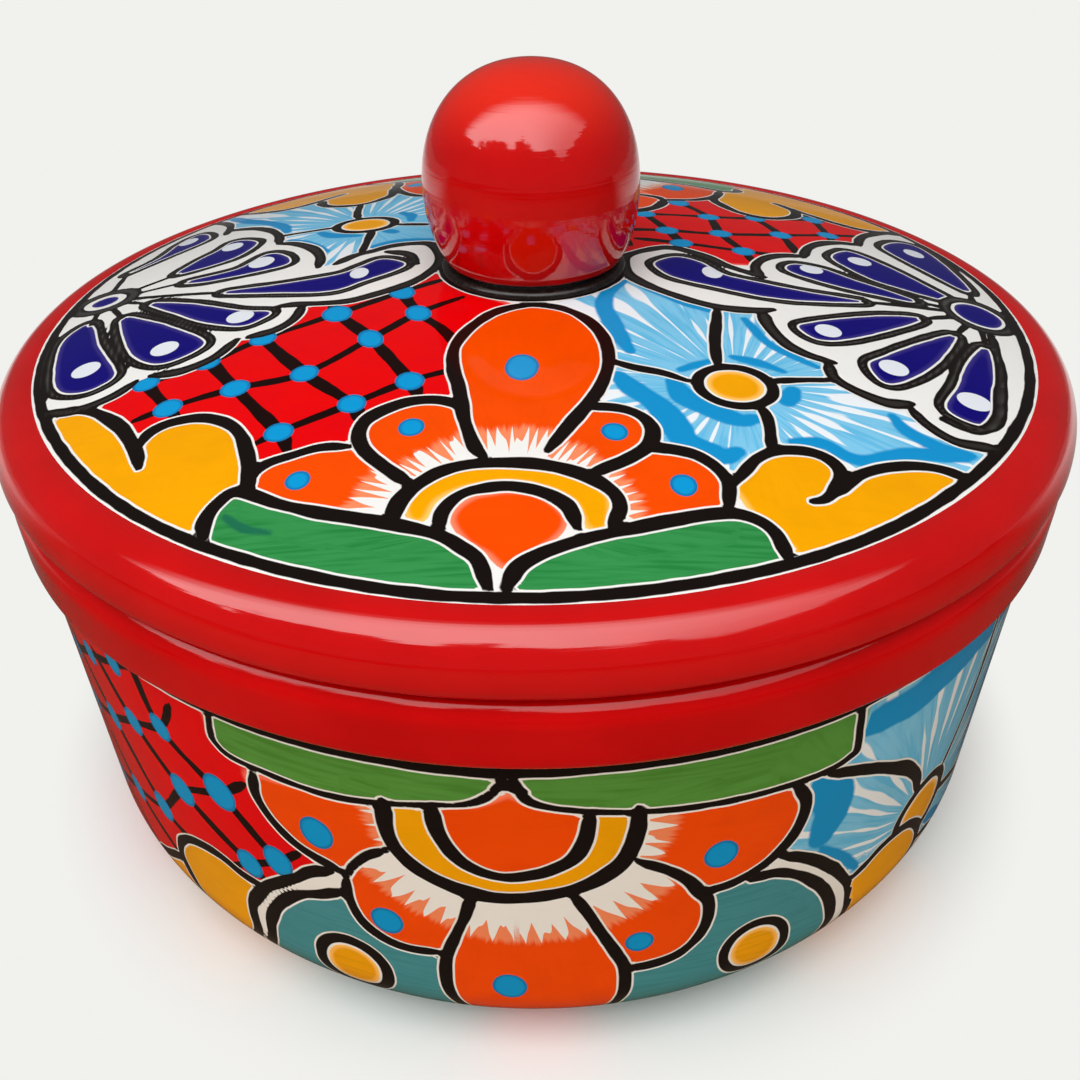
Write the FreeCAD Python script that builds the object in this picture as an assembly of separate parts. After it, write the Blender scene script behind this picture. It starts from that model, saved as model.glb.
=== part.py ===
# Tortilla warmer: a straight-sided glazed earthenware bowl with a low domed lid that lifts off.
# Each node is one piece of clay as the potter makes it, before the pieces are luted with slip
# and fired. Millimetres, +Z up, the origin on the table at the middle of the foot.
import FreeCAD, Part

import math
import os

# ---- bowl -------------------------------------------------------------------------------
body_radius = 122.0         # outside of the wall, just under the rim band
body_draft = 0.8            # the wall is this much narrower above the bottom corner
wall = 7.0                  # thickness of the wall
floor_thickness = 8.0
corner_radius = 22.0        # outside turn from the wall to the underside
wall_top = 93.4             # height of the wall's top edge, which carries the rim band

foot_height = 2.5
foot_radius = 88.0          # outside of the foot ring
foot_width = 8.0
foot_round = 0.8            # softened edges of the foot, which rests on the table

band_height = 14.8          # of the thick coil around the mouth
band_proud = 2.8            # how far the coil stands out past the wall
band_lip = 4.0              # how far it stands in past the wall
band_top_round = 5.0
band_bottom_round = 2.4
mouth_round = 1.6

# ---- lid --------------------------------------------------------------------------------
lid_overhang = 0.2          # how far the lid's widest point stands out past the coil
roll_width = 10.0           # of the rolled edge around the painted disc
lid_height = 13.5           # from the seat to the top of the rolled edge
dome_rise = 11.3            # from there to the crown
dome_thickness = 7.0
edge_thickness = 6.0        # of the disc where it lies in the rolled edge
lip_round = 2.4             # lower outside edge of the roll
roll_fullness = 0.54        # how square the roll's shoulder is, as a share of its width and height

flange_clearance = 2.5      # all round, between the locating flange and the mouth
flange_width = 6.5
flange_depth = 10.0         # how far the flange hangs into the bowl
flange_round = 2.0
land_margin = 2.0           # flat on the lid's underside, inside the flange

# ---- knob -------------------------------------------------------------------------------
knob_radius = 25.3          # of the ball, level
knob_half_height = 27.3     # of the ball, upright
knob_foot_radius = 20.0     # short neck that stands on the crown
knob_wall = 5.0             # the ball is hollow
vent_radius = 2.5           # lets the kiln's air out of the ball, through the lid
collar_width = 1.9          # bead of slip around the neck
collar_height = 1.6

# ---- places that follow from the sizes ----------------------------------------------------
wall_foot_radius = body_radius - body_draft
floor_top = foot_height + floor_thickness
corner_top = foot_height + corner_radius
inner_corner = corner_radius - wall
mouth_radius = body_radius - wall - band_lip
band_radius = body_radius + band_proud
seat = wall_top + band_height

lid_radius = band_radius + lid_overhang
disc_radius = lid_radius - roll_width
disc_edge = seat + lid_height
crown = disc_edge + dome_rise
land = disc_edge - edge_thickness
flange_radius = mouth_radius - flange_clearance
flange_inner = flange_radius - flange_width
land_inner = flange_inner - land_margin
pad_radius = knob_foot_radius + collar_width


def at(radius, height):
    """A point of a profile, which lies in the XZ plane."""
    return FreeCAD.Vector(radius, 0, height)


def line(start, end):
    return Part.LineSegment(start, end).toShape()


def quarter(start, end, centre):
    """The short arc about centre from start to end."""
    middle = (start + end) * 0.5 - centre
    middle.Length = (start - centre).Length
    return Part.Arc(start, centre + middle, end).toShape()


def cap(inner_radius, inner_height, outer_radius, outer_height):
    """An arc of a ball on the axis, level where it starts, between two points of the profile."""
    run = outer_radius - inner_radius
    drop = inner_height - outer_height
    ball = (run * run + drop * drop) / (2 * drop)
    half = math.asin(run / ball) / 2
    middle = at(inner_radius + ball * math.sin(half), inner_height - ball * (1 - math.cos(half)))
    return Part.Arc(at(inner_radius, inner_height), middle, at(outer_radius, outer_height)).toShape()


def cap_slope(run, drop):
    """How steep such an arc is at its outer end, in radians."""
    return math.asin(2 * run * drop / (run * run + drop * drop))


def ball_profile(radius, half_height, start_radius, middle_height):
    """The ball's outline from start_radius, below its middle, up to the axis."""
    first = -math.acos(start_radius / radius)
    steps = 10
    turns = [first + (math.pi / 2 - first) * i / steps for i in range(steps + 1)]
    points = [at(radius * math.cos(t), middle_height + half_height * math.sin(t)) for t in turns]
    points[-1] = at(0, middle_height + half_height)
    start_tangent = at(-radius * math.sin(first), half_height * math.cos(first))
    curve = Part.BSplineCurve()
    curve.interpolate(Points=points, InitialTangent=start_tangent, FinalTangent=at(-radius, 0))
    return curve.toShape()


def spun(edges):
    """The solid swept by a closed profile once around the Z axis."""
    face = Part.Face(Part.Wire(Part.__sortEdges__(edges)))
    solid = face.revolve(FreeCAD.Vector(0, 0, 0), FreeCAD.Vector(0, 0, 1), 360)
    return solid if solid.Volume > 0 else solid.reversed()


def bowl_body():
    """Floor and wall, pressed in one mould."""
    outer_turn = at(wall_foot_radius - corner_radius, corner_top)
    inner_turn = at(wall_foot_radius - wall - inner_corner, floor_top + inner_corner)
    under = at(0, foot_height)
    under_edge = at(outer_turn.x, foot_height)
    wall_foot = at(wall_foot_radius, corner_top)
    top_outer = at(body_radius, wall_top)
    top_inner = at(body_radius - wall, wall_top)
    inner_foot = at(wall_foot_radius - wall, inner_turn.z)
    floor_edge = at(inner_turn.x, floor_top)
    floor_middle = at(0, floor_top)
    return spun([
        line(under, under_edge),
        quarter(under_edge, wall_foot, outer_turn),
        line(wall_foot, top_outer),
        line(top_outer, top_inner),
        line(top_inner, inner_foot),
        quarter(inner_foot, floor_edge, inner_turn),
        line(floor_edge, floor_middle),
        line(floor_middle, under),
    ])


def bowl_foot_ring():
    """The trimmed ring that the bowl stands on, left without glaze."""
    outer, inner = foot_radius, foot_radius - foot_width
    r = foot_round
    return spun([
        line(at(inner, foot_height), at(outer, foot_height)),
        line(at(outer, foot_height), at(outer, r)),
        quarter(at(outer, r), at(outer - r, 0), at(outer - r, r)),
        line(at(outer - r, 0), at(inner + r, 0)),
        quarter(at(inner + r, 0), at(inner, r), at(inner + r, r)),
        line(at(inner, r), at(inner, foot_height)),
    ])


def bowl_rim_band():
    """The thick coil around the mouth. Its level top is the lid's seat."""
    inner_wall = body_radius - wall
    top, low, lip = band_top_round, band_bottom_round, mouth_round
    waist = wall_top + low
    mouth_foot = wall_top + (inner_wall - mouth_radius)
    return spun([
        line(at(inner_wall, wall_top), at(band_radius - low, wall_top)),
        quarter(at(band_radius - low, wall_top), at(band_radius, waist), at(band_radius - low, waist)),
        line(at(band_radius, waist), at(band_radius, seat - top)),
        quarter(at(band_radius, seat - top), at(band_radius - top, seat), at(band_radius - top, seat - top)),
        line(at(band_radius - top, seat), at(mouth_radius + lip, seat)),
        quarter(at(mouth_radius + lip, seat), at(mouth_radius, seat - lip), at(mouth_radius + lip, seat - lip)),
        line(at(mouth_radius, seat - lip), at(mouth_radius, mouth_foot)),
        line(at(mouth_radius, mouth_foot), at(inner_wall, wall_top)),
    ])


def lid_dome():
    """The domed disc, with the vent under the knob and a flat land that carries the flange."""
    under_crown = crown - dome_thickness
    return spun([
        line(at(vent_radius, crown), at(pad_radius, crown)),
        cap(pad_radius, crown, disc_radius, disc_edge),
        line(at(disc_radius, disc_edge), at(disc_radius, land)),
        line(at(disc_radius, land), at(land_inner, land)),
        cap(vent_radius, under_crown, land_inner, land),
        line(at(vent_radius, under_crown), at(vent_radius, crown)),
    ])


def lid_rim_roll():
    """The thick rolled edge that the disc lies in. Its level underside rests on the bowl's rim."""
    slope = cap_slope(disc_radius - pad_radius, dome_rise)
    widest = at(lid_radius, seat + lip_round)
    shoulder = at(disc_radius, disc_edge)
    handle = roll_fullness * roll_width
    roll = Part.BezierCurve()
    roll.setPoles([
        shoulder,
        shoulder + at(handle, -handle * math.tan(slope)),
        widest + at(0, roll_fullness * (disc_edge - widest.z)),
        widest,
    ])
    return spun([
        roll.toShape(),
        quarter(widest, at(lid_radius - lip_round, seat), at(lid_radius - lip_round, seat + lip_round)),
        line(at(lid_radius - lip_round, seat), at(flange_radius, seat)),
        line(at(flange_radius, seat), at(flange_radius, land)),
        line(at(flange_radius, land), at(disc_radius, land)),
        line(at(disc_radius, land), shoulder),
    ])


def lid_locating_flange():
    """The ring under the lid that drops into the mouth and keeps the lid from sliding off."""
    low, r = seat - flange_depth, flange_round
    return spun([
        line(at(flange_inner, land), at(flange_radius, land)),
        line(at(flange_radius, land), at(flange_radius, low + r)),
        quarter(at(flange_radius, low + r), at(flange_radius - r, low), at(flange_radius - r, low + r)),
        line(at(flange_radius - r, low), at(flange_inner + r, low)),
        quarter(at(flange_inner + r, low), at(flange_inner, low + r), at(flange_inner + r, low + r)),
        line(at(flange_inner, low + r), at(flange_inner, land)),
    ])


def lid_knob():
    """The hollow ball on its short neck, which stands on the lid's crown."""
    neck_top = crown + collar_height
    share = knob_foot_radius / knob_radius
    middle = neck_top + knob_half_height * math.sqrt(1 - share * share)
    bore = knob_foot_radius - knob_wall
    inside_radius = knob_radius - knob_wall
    inside_half_height = knob_half_height - knob_wall
    bore_share = bore / inside_radius
    bore_top = middle - inside_half_height * math.sqrt(1 - bore_share * bore_share)
    return spun([
        line(at(bore, crown), at(knob_foot_radius, crown)),
        line(at(knob_foot_radius, crown), at(knob_foot_radius, neck_top)),
        ball_profile(knob_radius, knob_half_height, knob_foot_radius, middle),
        line(at(0, middle + knob_half_height), at(0, middle + inside_half_height)),
        ball_profile(inside_radius, inside_half_height, bore, middle),
        line(at(bore, bore_top), at(bore, crown)),
    ])


def knob_collar():
    """The bead of slip that seals the neck to the crown."""
    outer = knob_foot_radius + collar_width
    shoulder = at(knob_foot_radius + collar_width / 4, crown + collar_height)
    foot = at(outer, crown)
    bulge = at(outer - collar_width / 5, crown + collar_height * 0.7)
    return spun([
        line(at(knob_foot_radius, crown), foot),
        Part.Arc(foot, bulge, shoulder).toShape(),
        line(shoulder, at(knob_foot_radius, shoulder.z)),
        line(at(knob_foot_radius, shoulder.z), at(knob_foot_radius, crown)),
    ])


pieces = [
    bowl_body,
    bowl_foot_ring,
    bowl_rim_band,
    lid_dome,
    lid_rim_roll,
    lid_locating_flange,
    lid_knob,
    knob_collar,
]

os.makedirs("parts", exist_ok=True)
for make in pieces:
    solid = make()
    solid.exportStep("parts/" + make.__name__ + ".step")
    print(make.__name__, "valid" if solid.isValid() else "NOT VALID", round(solid.Volume / 1000, 1), "cm3")
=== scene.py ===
import math

import bpy
import numpy as np
from mathutils import Matrix, Vector


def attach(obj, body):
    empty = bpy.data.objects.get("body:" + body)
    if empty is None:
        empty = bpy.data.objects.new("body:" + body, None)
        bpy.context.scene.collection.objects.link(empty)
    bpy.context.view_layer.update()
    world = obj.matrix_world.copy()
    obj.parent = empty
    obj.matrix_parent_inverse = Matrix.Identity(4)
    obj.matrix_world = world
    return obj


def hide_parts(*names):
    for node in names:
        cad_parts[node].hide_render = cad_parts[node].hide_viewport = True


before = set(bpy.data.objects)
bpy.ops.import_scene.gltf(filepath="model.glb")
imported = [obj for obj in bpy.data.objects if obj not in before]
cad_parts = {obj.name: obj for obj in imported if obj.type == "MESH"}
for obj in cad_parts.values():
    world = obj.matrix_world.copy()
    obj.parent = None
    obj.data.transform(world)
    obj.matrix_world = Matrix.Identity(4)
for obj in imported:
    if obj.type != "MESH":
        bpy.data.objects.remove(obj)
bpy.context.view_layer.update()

# ---- the room ------------------------------------------------------------------------------
# A pale tabletop in soft daylight: one large window high over the viewer, a little to the left,
# and an even haze low down. The viewer stands close and looks down.
CAMERA_PLACE = (0, -0.24236, 0.2253)
PITCH = math.radians(35.58)
YAW = 0.003
ROLL = -0.012
WINDOW_PLACE = (-0.3, -0.75, 1.15)
WINDOW_SIZE = (3.0, 1.8)
WINDOW_ENERGY = 55

NOISE = "ShaderNodeTexNoise"
RAMP = "ShaderNodeMapRange"
MATH = "ShaderNodeMath"
VECTOR = "ShaderNodeVectorMath"
MIX = "ShaderNodeMix"
SPLIT = "ShaderNodeSeparateXYZ"
SOFT = {"interpolation_type": "SMOOTHSTEP"}
TIMES = {"operation": "MULTIPLY"}
RGBA = {"data_type": "RGBA"}


def colour(written):
    """An sRGB hex colour as the linear RGBA that a socket takes."""
    parts = [int(written[i:i + 2], 16) / 255 for i in (0, 2, 4)]
    bent = [c / 12.92 if c <= 0.04045 else ((c + 0.055) / 1.055) ** 2.4 for c in parts]
    return (*bent, 1.0)


PALE = colour("F1F1EE")


def add(tree, kind, inputs=(), **settings):
    """Adds a node with its settings, and fills or links its inputs by name or number."""
    node = tree.nodes.new(kind)
    for name, value in settings.items():
        setattr(node, name, value)
    for name, value in dict(inputs).items():
        if isinstance(value, bpy.types.Node):
            value = value.outputs[0]
        if isinstance(value, bpy.types.NodeSocket):
            tree.links.new(value, node.inputs[name])
        else:
            node.inputs[name].default_value = value
    return node


def new_material(name):
    """An empty material, its tree, and the Principled shader that its output shows."""
    material = bpy.data.materials.new(name)
    material.use_nodes = True
    tree = material.node_tree
    tree.nodes.clear()
    shader = add(tree, "ShaderNodeBsdfPrincipled")
    add(tree, "ShaderNodeOutputMaterial", {"Surface": shader})
    return material, tree, shader


camera_data = bpy.data.cameras.new("camera")
camera_data.lens = 35.0
camera_data.sensor_width = 36.0
camera_data.clip_start = 0.01
camera = bpy.data.objects.new("camera", camera_data)
bpy.context.scene.collection.objects.link(camera)
camera.matrix_world = (
    Matrix.Translation(CAMERA_PLACE)
    @ Matrix.Rotation(-YAW, 4, "Z")
    @ Matrix.Rotation(math.pi / 2 - PITCH, 4, "X")
    @ Matrix.Rotation(ROLL, 4, "Z")
)
bpy.context.scene.camera = camera
bpy.context.scene.view_settings.view_transform = "Standard"

window = bpy.data.lights.new("skylight", "AREA")
window.shape = "RECTANGLE"
window.size, window.size_y = WINDOW_SIZE
window.energy = WINDOW_ENERGY
holder = bpy.data.objects.new("skylight", window)
bpy.context.scene.collection.objects.link(holder)
holder.location = WINDOW_PLACE
holder.visible_camera = False

# leaves make the window's front edge ragged; it fades to the back and to the right
window.use_nodes = True
tree = window.node_tree
spot = add(tree, "ShaderNodeNewGeometry").outputs["Position"]
leaves = add(tree, NOISE, {"Vector": spot, "Scale": 2.2, "Detail": 5.0})
ragged = add(tree, RAMP, {0: leaves, 1: 0.3, 2: 0.7, 3: -0.32, 4: 0.32})
along = add(tree, SPLIT, {0: spot})
front = add(tree, MATH, {0: along.outputs[0], 1: 0.22, 2: along.outputs[1]}, operation="MULTIPLY_ADD")
front = add(tree, MATH, {0: front, 1: ragged})
front = add(tree, RAMP, {0: front, 1: -1.34, 2: -1.24}, **SOFT)
back = add(tree, RAMP, {0: along.outputs[1], 1: -0.3, 2: 0.1, 3: 1.0, 4: 0.0}, **SOFT)
right = add(tree, RAMP, {0: along.outputs[0], 1: -0.2, 2: 1.1, 3: 1.0, 4: 0.4}, **SOFT)
level = add(tree, MATH, {0: front, 1: back}, **TIMES)
level = add(tree, MATH, {0: level, 1: right}, **TIMES)
tree.links.new(level.outputs[0], tree.nodes["Emission"].inputs["Strength"])

world = bpy.data.worlds.new("soft_daylight")
world.use_nodes = True
tree = world.node_tree
# low down there is haze all round; polished glaze mirrors it dimly, and the viewer sees it white
upwards = add(tree, SPLIT, {0: add(tree, "ShaderNodeTexCoord").outputs["Generated"]})
haze = add(tree, RAMP, {0: upwards.outputs[2], 1: 0.0, 2: 0.2, 3: 0.7, 4: 0.13}, **SOFT)
rays = add(tree, "ShaderNodeLightPath").outputs
haze = add(tree, MIX, {0: rays["Is Glossy Ray"], 2: haze, 3: 0.12})
haze = add(tree, MATH, {0: haze, 1: rays["Is Camera Ray"]}, operation="MAXIMUM")
tree.links.new(haze.outputs[0], tree.nodes["Background"].inputs["Strength"])
tree.nodes["Background"].inputs["Color"].default_value = PALE
bpy.context.scene.world = world

bpy.ops.object.select_all(action="DESELECT")
bpy.ops.mesh.primitive_plane_add(size=12, location=(0, 0, 0))
floor = bpy.context.object
floor.name = "tabletop"
floor_material, tree, shader = new_material("matt_white_laminate")
shader.inputs["Roughness"].default_value = 0.85
place = add(tree, "ShaderNodeTexCoord").outputs["Object"]
distance = add(tree, VECTOR, {0: place}, operation="LENGTH").outputs["Value"]

# white beyond the object's own shadow; glaze mirrors the table's far side and not its near side
near = add(tree, RAMP, {0: distance, 1: 0.114, 2: 0.145}, **SOFT)
beyond = add(tree, RAMP, {0: distance, 1: 0.5, 2: 1.4, 3: 1.0, 4: 0.25}, **SOFT)
behind = add(tree, RAMP, {0: add(tree, SPLIT, {0: place}).outputs[1], 1: 0.0, 2: 0.3}, **SOFT)
rays = add(tree, "ShaderNodeLightPath").outputs
tint = add(tree, MIX, {0: rays["Is Glossy Ray"], 6: colour("DBC3A3"), 7: colour("5A4C3E")}, **RGBA)
tint = add(tree, MIX, {0: rays["Is Camera Ray"], 6: tint.outputs[2], 7: PALE}, **RGBA)
tree.links.new(tint.outputs[2], shader.inputs["Base Color"])
seen = add(tree, MATH, {0: rays["Is Glossy Ray"], 1: rays["Is Transmission Ray"]})
bright = add(tree, MATH, {0: behind, 1: beyond}, **TIMES)
mirrored = add(tree, MATH, {0: seen, 1: bright}, **TIMES)
share = add(tree, MATH, {0: rays["Is Camera Ray"], 1: near, 2: mirrored}, operation="MULTIPLY_ADD")
glow = add(tree, "ShaderNodeEmission", {"Color": PALE, "Strength": 1.0})
blend = add(tree, "ShaderNodeMixShader", {0: share, 1: shader, 2: glow})
tree.links.new(blend.outputs[0], tree.nodes["Material Output"].inputs["Surface"])
floor.data.materials.append(floor_material)

# ---- bowl foot -----------------------------------------------------------------------------
# The ring that the bowl stands on, trimmed on the wheel when the clay was leather-hard. Its foot
# is wiped clean of glaze before the firing, so it is bare buff earthenware.
CLAY = "C79A6E"
CLAY_DARK = "A9764C"
CLAY_GRIT = 0.0006      # metres between grains, drawn coarser than the real 0.2 mm so that it shows

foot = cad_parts["bowl_foot_ring"]
bare_clay, tree, shader = new_material("bare_earthenware")
place = add(tree, "ShaderNodeTexCoord").outputs["Object"]
grit = add(tree, NOISE, {"Vector": place, "Scale": 1 / CLAY_GRIT, "Detail": 4.0})
cloud = add(tree, NOISE, {"Vector": place, "Scale": 60.0, "Detail": 3.0})
mixed = add(tree, MATH, {0: grit, 1: cloud}, **TIMES)
tone = add(tree, RAMP, {0: mixed, 1: 0.12, 2: 0.4})
paint = add(tree, MIX, {0: tone, 6: colour(CLAY_DARK), 7: colour(CLAY)}, **RGBA)
dent = add(tree, "ShaderNodeBump", {"Strength": 0.5, "Distance": 0.0003, "Height": grit})
dry = add(tree, RAMP, {0: cloud, 1: 0.3, 2: 0.7, 3: 0.75, 4: 0.95})
tree.links.new(paint.outputs[2], shader.inputs["Base Color"])
tree.links.new(dry.outputs[0], shader.inputs["Roughness"])
tree.links.new(dent.outputs[0], shader.inputs["Normal"])
foot.data.materials.clear()
foot.data.materials.append(bare_clay)

# ---- bowl ----------------------------------------------------------------------------------
# Floor and wall pressed in one mould from white-slipped earthenware. The wall is painted by hand:
# outlines in black that keep the glazes apart, then each cell filled with its own bright glaze,
# with a thread of white left along every outline. Inside there is only white glaze.
MM = 0.001
WALL_TOP = 93.4
WALL_RADIUS = 122.0
WALL_FOOT_RADIUS = 121.2
WALL_THICKNESS = 7.0
FOOT_LINE = 98.0        # mm down the outside from the band to the line that ends the drawing
PAINTED_TO = 104.0
CORNER = 22.0
INSIDE_CORNER = 15.0
UNDERSIDE = 2.5
FLOOR_TOP = 10.5
BOWL_STEPS = 680
MM_PER_DEGREE = math.tau * WALL_RADIUS / 360

ORANGE = "FF5000"
CELL_RED = "F00205"
YELLOW = "FFAC00"
GREEN = "38944F"
OLIVE = "5B9A42"
SKY = "84CFF3"
DEEP_BLUE = "1595D3"
COBALT = "100478"
TEAL = "4A949C"
DOT_BLUE = "0C9CDA"
WHITE = "F7F5F1"
OUTLINE_BLACK = "17100E"


def run(start, end, count):
    """Points of an outline from start to end, both included, in count steps."""
    shares = [i / count for i in range(count + 1)]
    return [tuple(a + (b - a) * t for a, b in zip(start, end)) for t in shares]


def arc(middle, radius, first, last, count):
    """Points of an outline along a circle, between two angles in degrees."""
    turns = [math.radians(first + (last - first) * i / count) for i in range(count + 1)]
    return [(middle[0] + radius * math.cos(t), middle[1] + radius * math.sin(t)) for t in turns]


def finish_piece(piece, material, body, slot, *nodes):
    """Smooths a piece, glazes it, and has it ride on its body in place of its CAD nodes."""
    bpy.ops.object.select_all(action="DESELECT")
    piece.select_set(True)
    bpy.context.view_layer.objects.active = piece
    bpy.ops.object.shade_smooth_by_angle(angle=math.radians(50))
    piece.data.materials.append(material)
    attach(piece, body)
    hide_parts(*nodes)


def lathe(name, outline, steps):
    """A piece as it comes off the wheel: a closed outline of (radius, height) in mm, spun round Z."""
    points = [p for p, q in zip(outline, outline[1:] + outline[:1]) if math.dist(p, q) > 0.01]
    bpy.ops.object.select_all(action="DESELECT")
    bpy.ops.mesh.primitive_plane_add(size=MM, location=(points[0][0] * MM, 0, points[0][1] * MM))
    piece = bpy.context.object
    piece.name = name
    bpy.ops.object.transform_apply(location=True, rotation=True, scale=True)
    bpy.ops.object.mode_set(mode="EDIT")
    bpy.ops.mesh.select_all(action="SELECT")
    bpy.ops.mesh.merge(type="CENTER")
    for here, there in zip(points, points[1:] + points[:1]):
        step = ((there[0] - here[0]) * MM, 0, (there[1] - here[1]) * MM)
        bpy.ops.mesh.extrude_region_move(TRANSFORM_OT_translate={"value": step})
    bpy.ops.mesh.select_all(action="SELECT")
    bpy.ops.mesh.remove_doubles(threshold=0.000002)
    bpy.ops.object.mode_set(mode="OBJECT")
    wheel = piece.modifiers.new("wheel", "SCREW")
    wheel.steps = steps
    wheel.render_steps = steps
    wheel.use_merge_vertices = True
    wheel.merge_threshold = 0.000002
    bpy.ops.object.modifier_apply(modifier="wheel")
    bpy.ops.object.mode_set(mode="EDIT")
    bpy.ops.mesh.select_all(action="SELECT")
    bpy.ops.mesh.remove_doubles(threshold=0.000002)
    bpy.ops.mesh.normals_make_consistent(inside=False)
    bpy.ops.object.mode_set(mode="OBJECT")
    return piece


def corners_of(piece):
    """The piece's vertices in mm as an array."""
    flat = np.empty(len(piece.data.vertices) * 3)
    piece.data.vertices.foreach_get("co", flat)
    return flat.reshape(-1, 3) / MM


def smooth(points, closed=False, detail=5):
    """A curve through the points, as a brush draws it, in short straight steps."""
    points = np.array(points, float)
    if closed:
        padded = np.vstack([points[-1:], points, points[:2]])
    else:
        first = 2 * points[0] - points[1]
        last = 2 * points[-1] - points[-2]
        padded = np.vstack([first, points, last])
    shares = np.arange(detail)[:, None] / detail
    path = []
    for a, b, c, d in zip(padded, padded[1:], padded[2:], padded[3:]):
        path.append(
            0.5 * (2 * b + (c - a) * shares
                   + (2 * a - 5 * b + 4 * c - d) * shares ** 2
                   + (3 * b - a - 3 * c + d) * shares ** 3)
        )
    path = np.vstack(path + ([] if closed else [points[-1:]]))
    return np.vstack([path, path[:1]]) if closed else path


class Painting:
    """Brushwork on a piece. Every vertex keeps its distance in mm from each kind of mark: ink is
    outline with white beside it, net is outline on wet glaze, cell is a glazed area."""

    REACH = 6.0
    NO_PETAL = 20.0
    STREAKS = {GREEN: 1.0, OLIVE: 0.8, TEAL: 0.5, COBALT: 0.4}

    def __init__(self, piece, flat, unit=(1, 1)):
        self.piece = piece
        self.flat = flat
        self.unit = np.array(unit)
        count = len(piece.data.vertices)
        kinds = ("ink", "net", "cell", "dab", "pearl", "deep")
        self.marks = {kind: np.full(count, self.REACH) for kind in kinds}
        self.petal = np.full(count, self.NO_PETAL)
        self.sky = np.zeros(count)
        self.wash = np.zeros(count)
        self.streaky = np.zeros(count)
        self.stroke = np.zeros((count, 3))
        self.stroke[:, 0], self.stroke[:, 1] = flat(0)[::-1]
        self.glaze = np.ones((count, 4))
        self.glaze[:, :3] = colour(WHITE)[:3]
        self.turn_to()

    def turn_to(self, turn=0):
        """What is painted next is turned about the axis by degrees."""
        self.x, self.y = self.flat(turn)

    def measure(self, path):
        """The vertices near a path, how far each is from it in mm, and how far along it is."""
        low, high = path.min(0) - self.REACH, path.max(0) + self.REACH
        near = np.nonzero(
            (self.x > low[0]) & (self.x < high[0]) & (self.y > low[1]) & (self.y < high[1])
        )[0]
        spot = np.stack([self.x[near], self.y[near]], 1)
        start, leg = path[:-1], np.diff(path, axis=0)
        length = np.maximum(np.hypot(*leg.T), 1e-6)
        begun = np.concatenate([[0], np.cumsum(length)[:-1]])
        best = np.full(len(near), 1e9)
        along = np.zeros(len(near))
        for a, d, n, s in zip(start, leg, length, begun):
            share = np.clip(((spot - a) @ d) / (n * n), 0, 1)
            gap = np.hypot(*(spot - a - share[:, None] * d).T)
            closer = gap < best
            best[closer] = gap[closer]
            along[closer] = (s + share * n)[closer]
        return near, spot, best, along / (begun[-1] + length[-1])

    def mark(self, kind, near, distance):
        """Joins a mark to those of its kind, and says which vertices it changed."""
        closer = distance < self.marks[kind][near]
        self.marks[kind][near[closer]] = distance[closer]
        return near[closer]

    def brush(self, points, width, kind="ink", wash=0.0, point=2.5):
        """One stroke, which thins towards its ends over point mm and is never quite even."""
        path = smooth(np.array(points, float) * self.unit)
        near, spot, gap, along = self.measure(path)
        length = np.hypot(*np.diff(path, axis=0).T).sum()
        mm = along * length
        uneven = 1 + 0.09 * np.sin(mm / 5 + points[0][0]) + 0.05 * np.sin(mm / 2.1)
        ends = np.minimum(along, 1 - along) * length
        half = width / 2 * uneven * (0.62 + 0.38 * np.clip(ends / point, 0, 1))
        changed = self.mark(kind, near, gap - half)
        if kind == "ink":
            self.wash[changed] = wash

    def inside(self, spot, path):
        """Whether each spot lies inside a closed path."""
        odd = np.zeros(len(spot), bool)
        for (ax, ay), (bx, by) in zip(path[:-1], path[1:]):
            if ay != by:
                crosses = (spot[:, 1] > min(ay, by)) & (spot[:, 1] <= max(ay, by))
                odd ^= crosses & (spot[:, 0] < ax + (spot[:, 1] - ay) * (bx - ax) / (by - ay))
        return odd

    def flood(self, points, hue, heart=None, solid=None, rounded=True, cover=False):
        """Glaze inside an outline, over what was glazed before; white is the slip left bare. From a
        heart the brush pulls it outwards: petals are solid further than that from it, in mm."""
        points = np.array(points, float) * self.unit
        path = smooth(points, True) if rounded else np.vstack([points, points[:1]])
        near, spot, gap, _ = self.measure(path)
        within = self.inside(spot, path)
        gap[within] *= -1
        before = self.marks["cell"][near]
        beside = before if hue == WHITE else np.minimum(before, gap)
        self.marks["cell"][near] = np.where(
            within, -gap if hue == WHITE else gap, np.where(before < 0, np.maximum(before, -gap), beside)
        )
        for kind in ("net", "dab", "pearl", "deep"):
            self.marks[kind][near[within]] = self.REACH
        if cover:
            self.marks["ink"][near[gap < -1]] = self.REACH
        mine = within | ((before >= 0) & (gap < before))
        changed = near[mine]
        self.glaze[changed] = colour(hue)
        self.sky[changed] = float(hue == SKY)
        self.streaky[changed] = self.STREAKS.get(hue, 0.07)
        self.petal[changed] = self.NO_PETAL
        if heart is not None:
            away = spot[mine] - np.array(heart[:2], float) * self.unit
            radius = np.hypot(*away.T)
            seam = math.radians(heart[2] if len(heart) > 2 else -90)
            bearing = (np.arctan2(away[:, 1], away[:, 0]) - seam) % math.tau
            self.stroke[changed, 0] = bearing * (solid or self.NO_PETAL)
            self.stroke[changed, 1] = radius
            if solid is not None:
                self.petal[changed] = radius - solid
        return near, gap

    def shape(self, line, hue, width, rest=(), heart=None, solid=None, rounded=True, cover=False):
        """A cell of glaze with its outline: the line is drawn, the rest only closes the cell."""
        self.flood([*line, *rest], hue, heart, solid, rounded, cover)
        self.brush(line, width)

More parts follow.
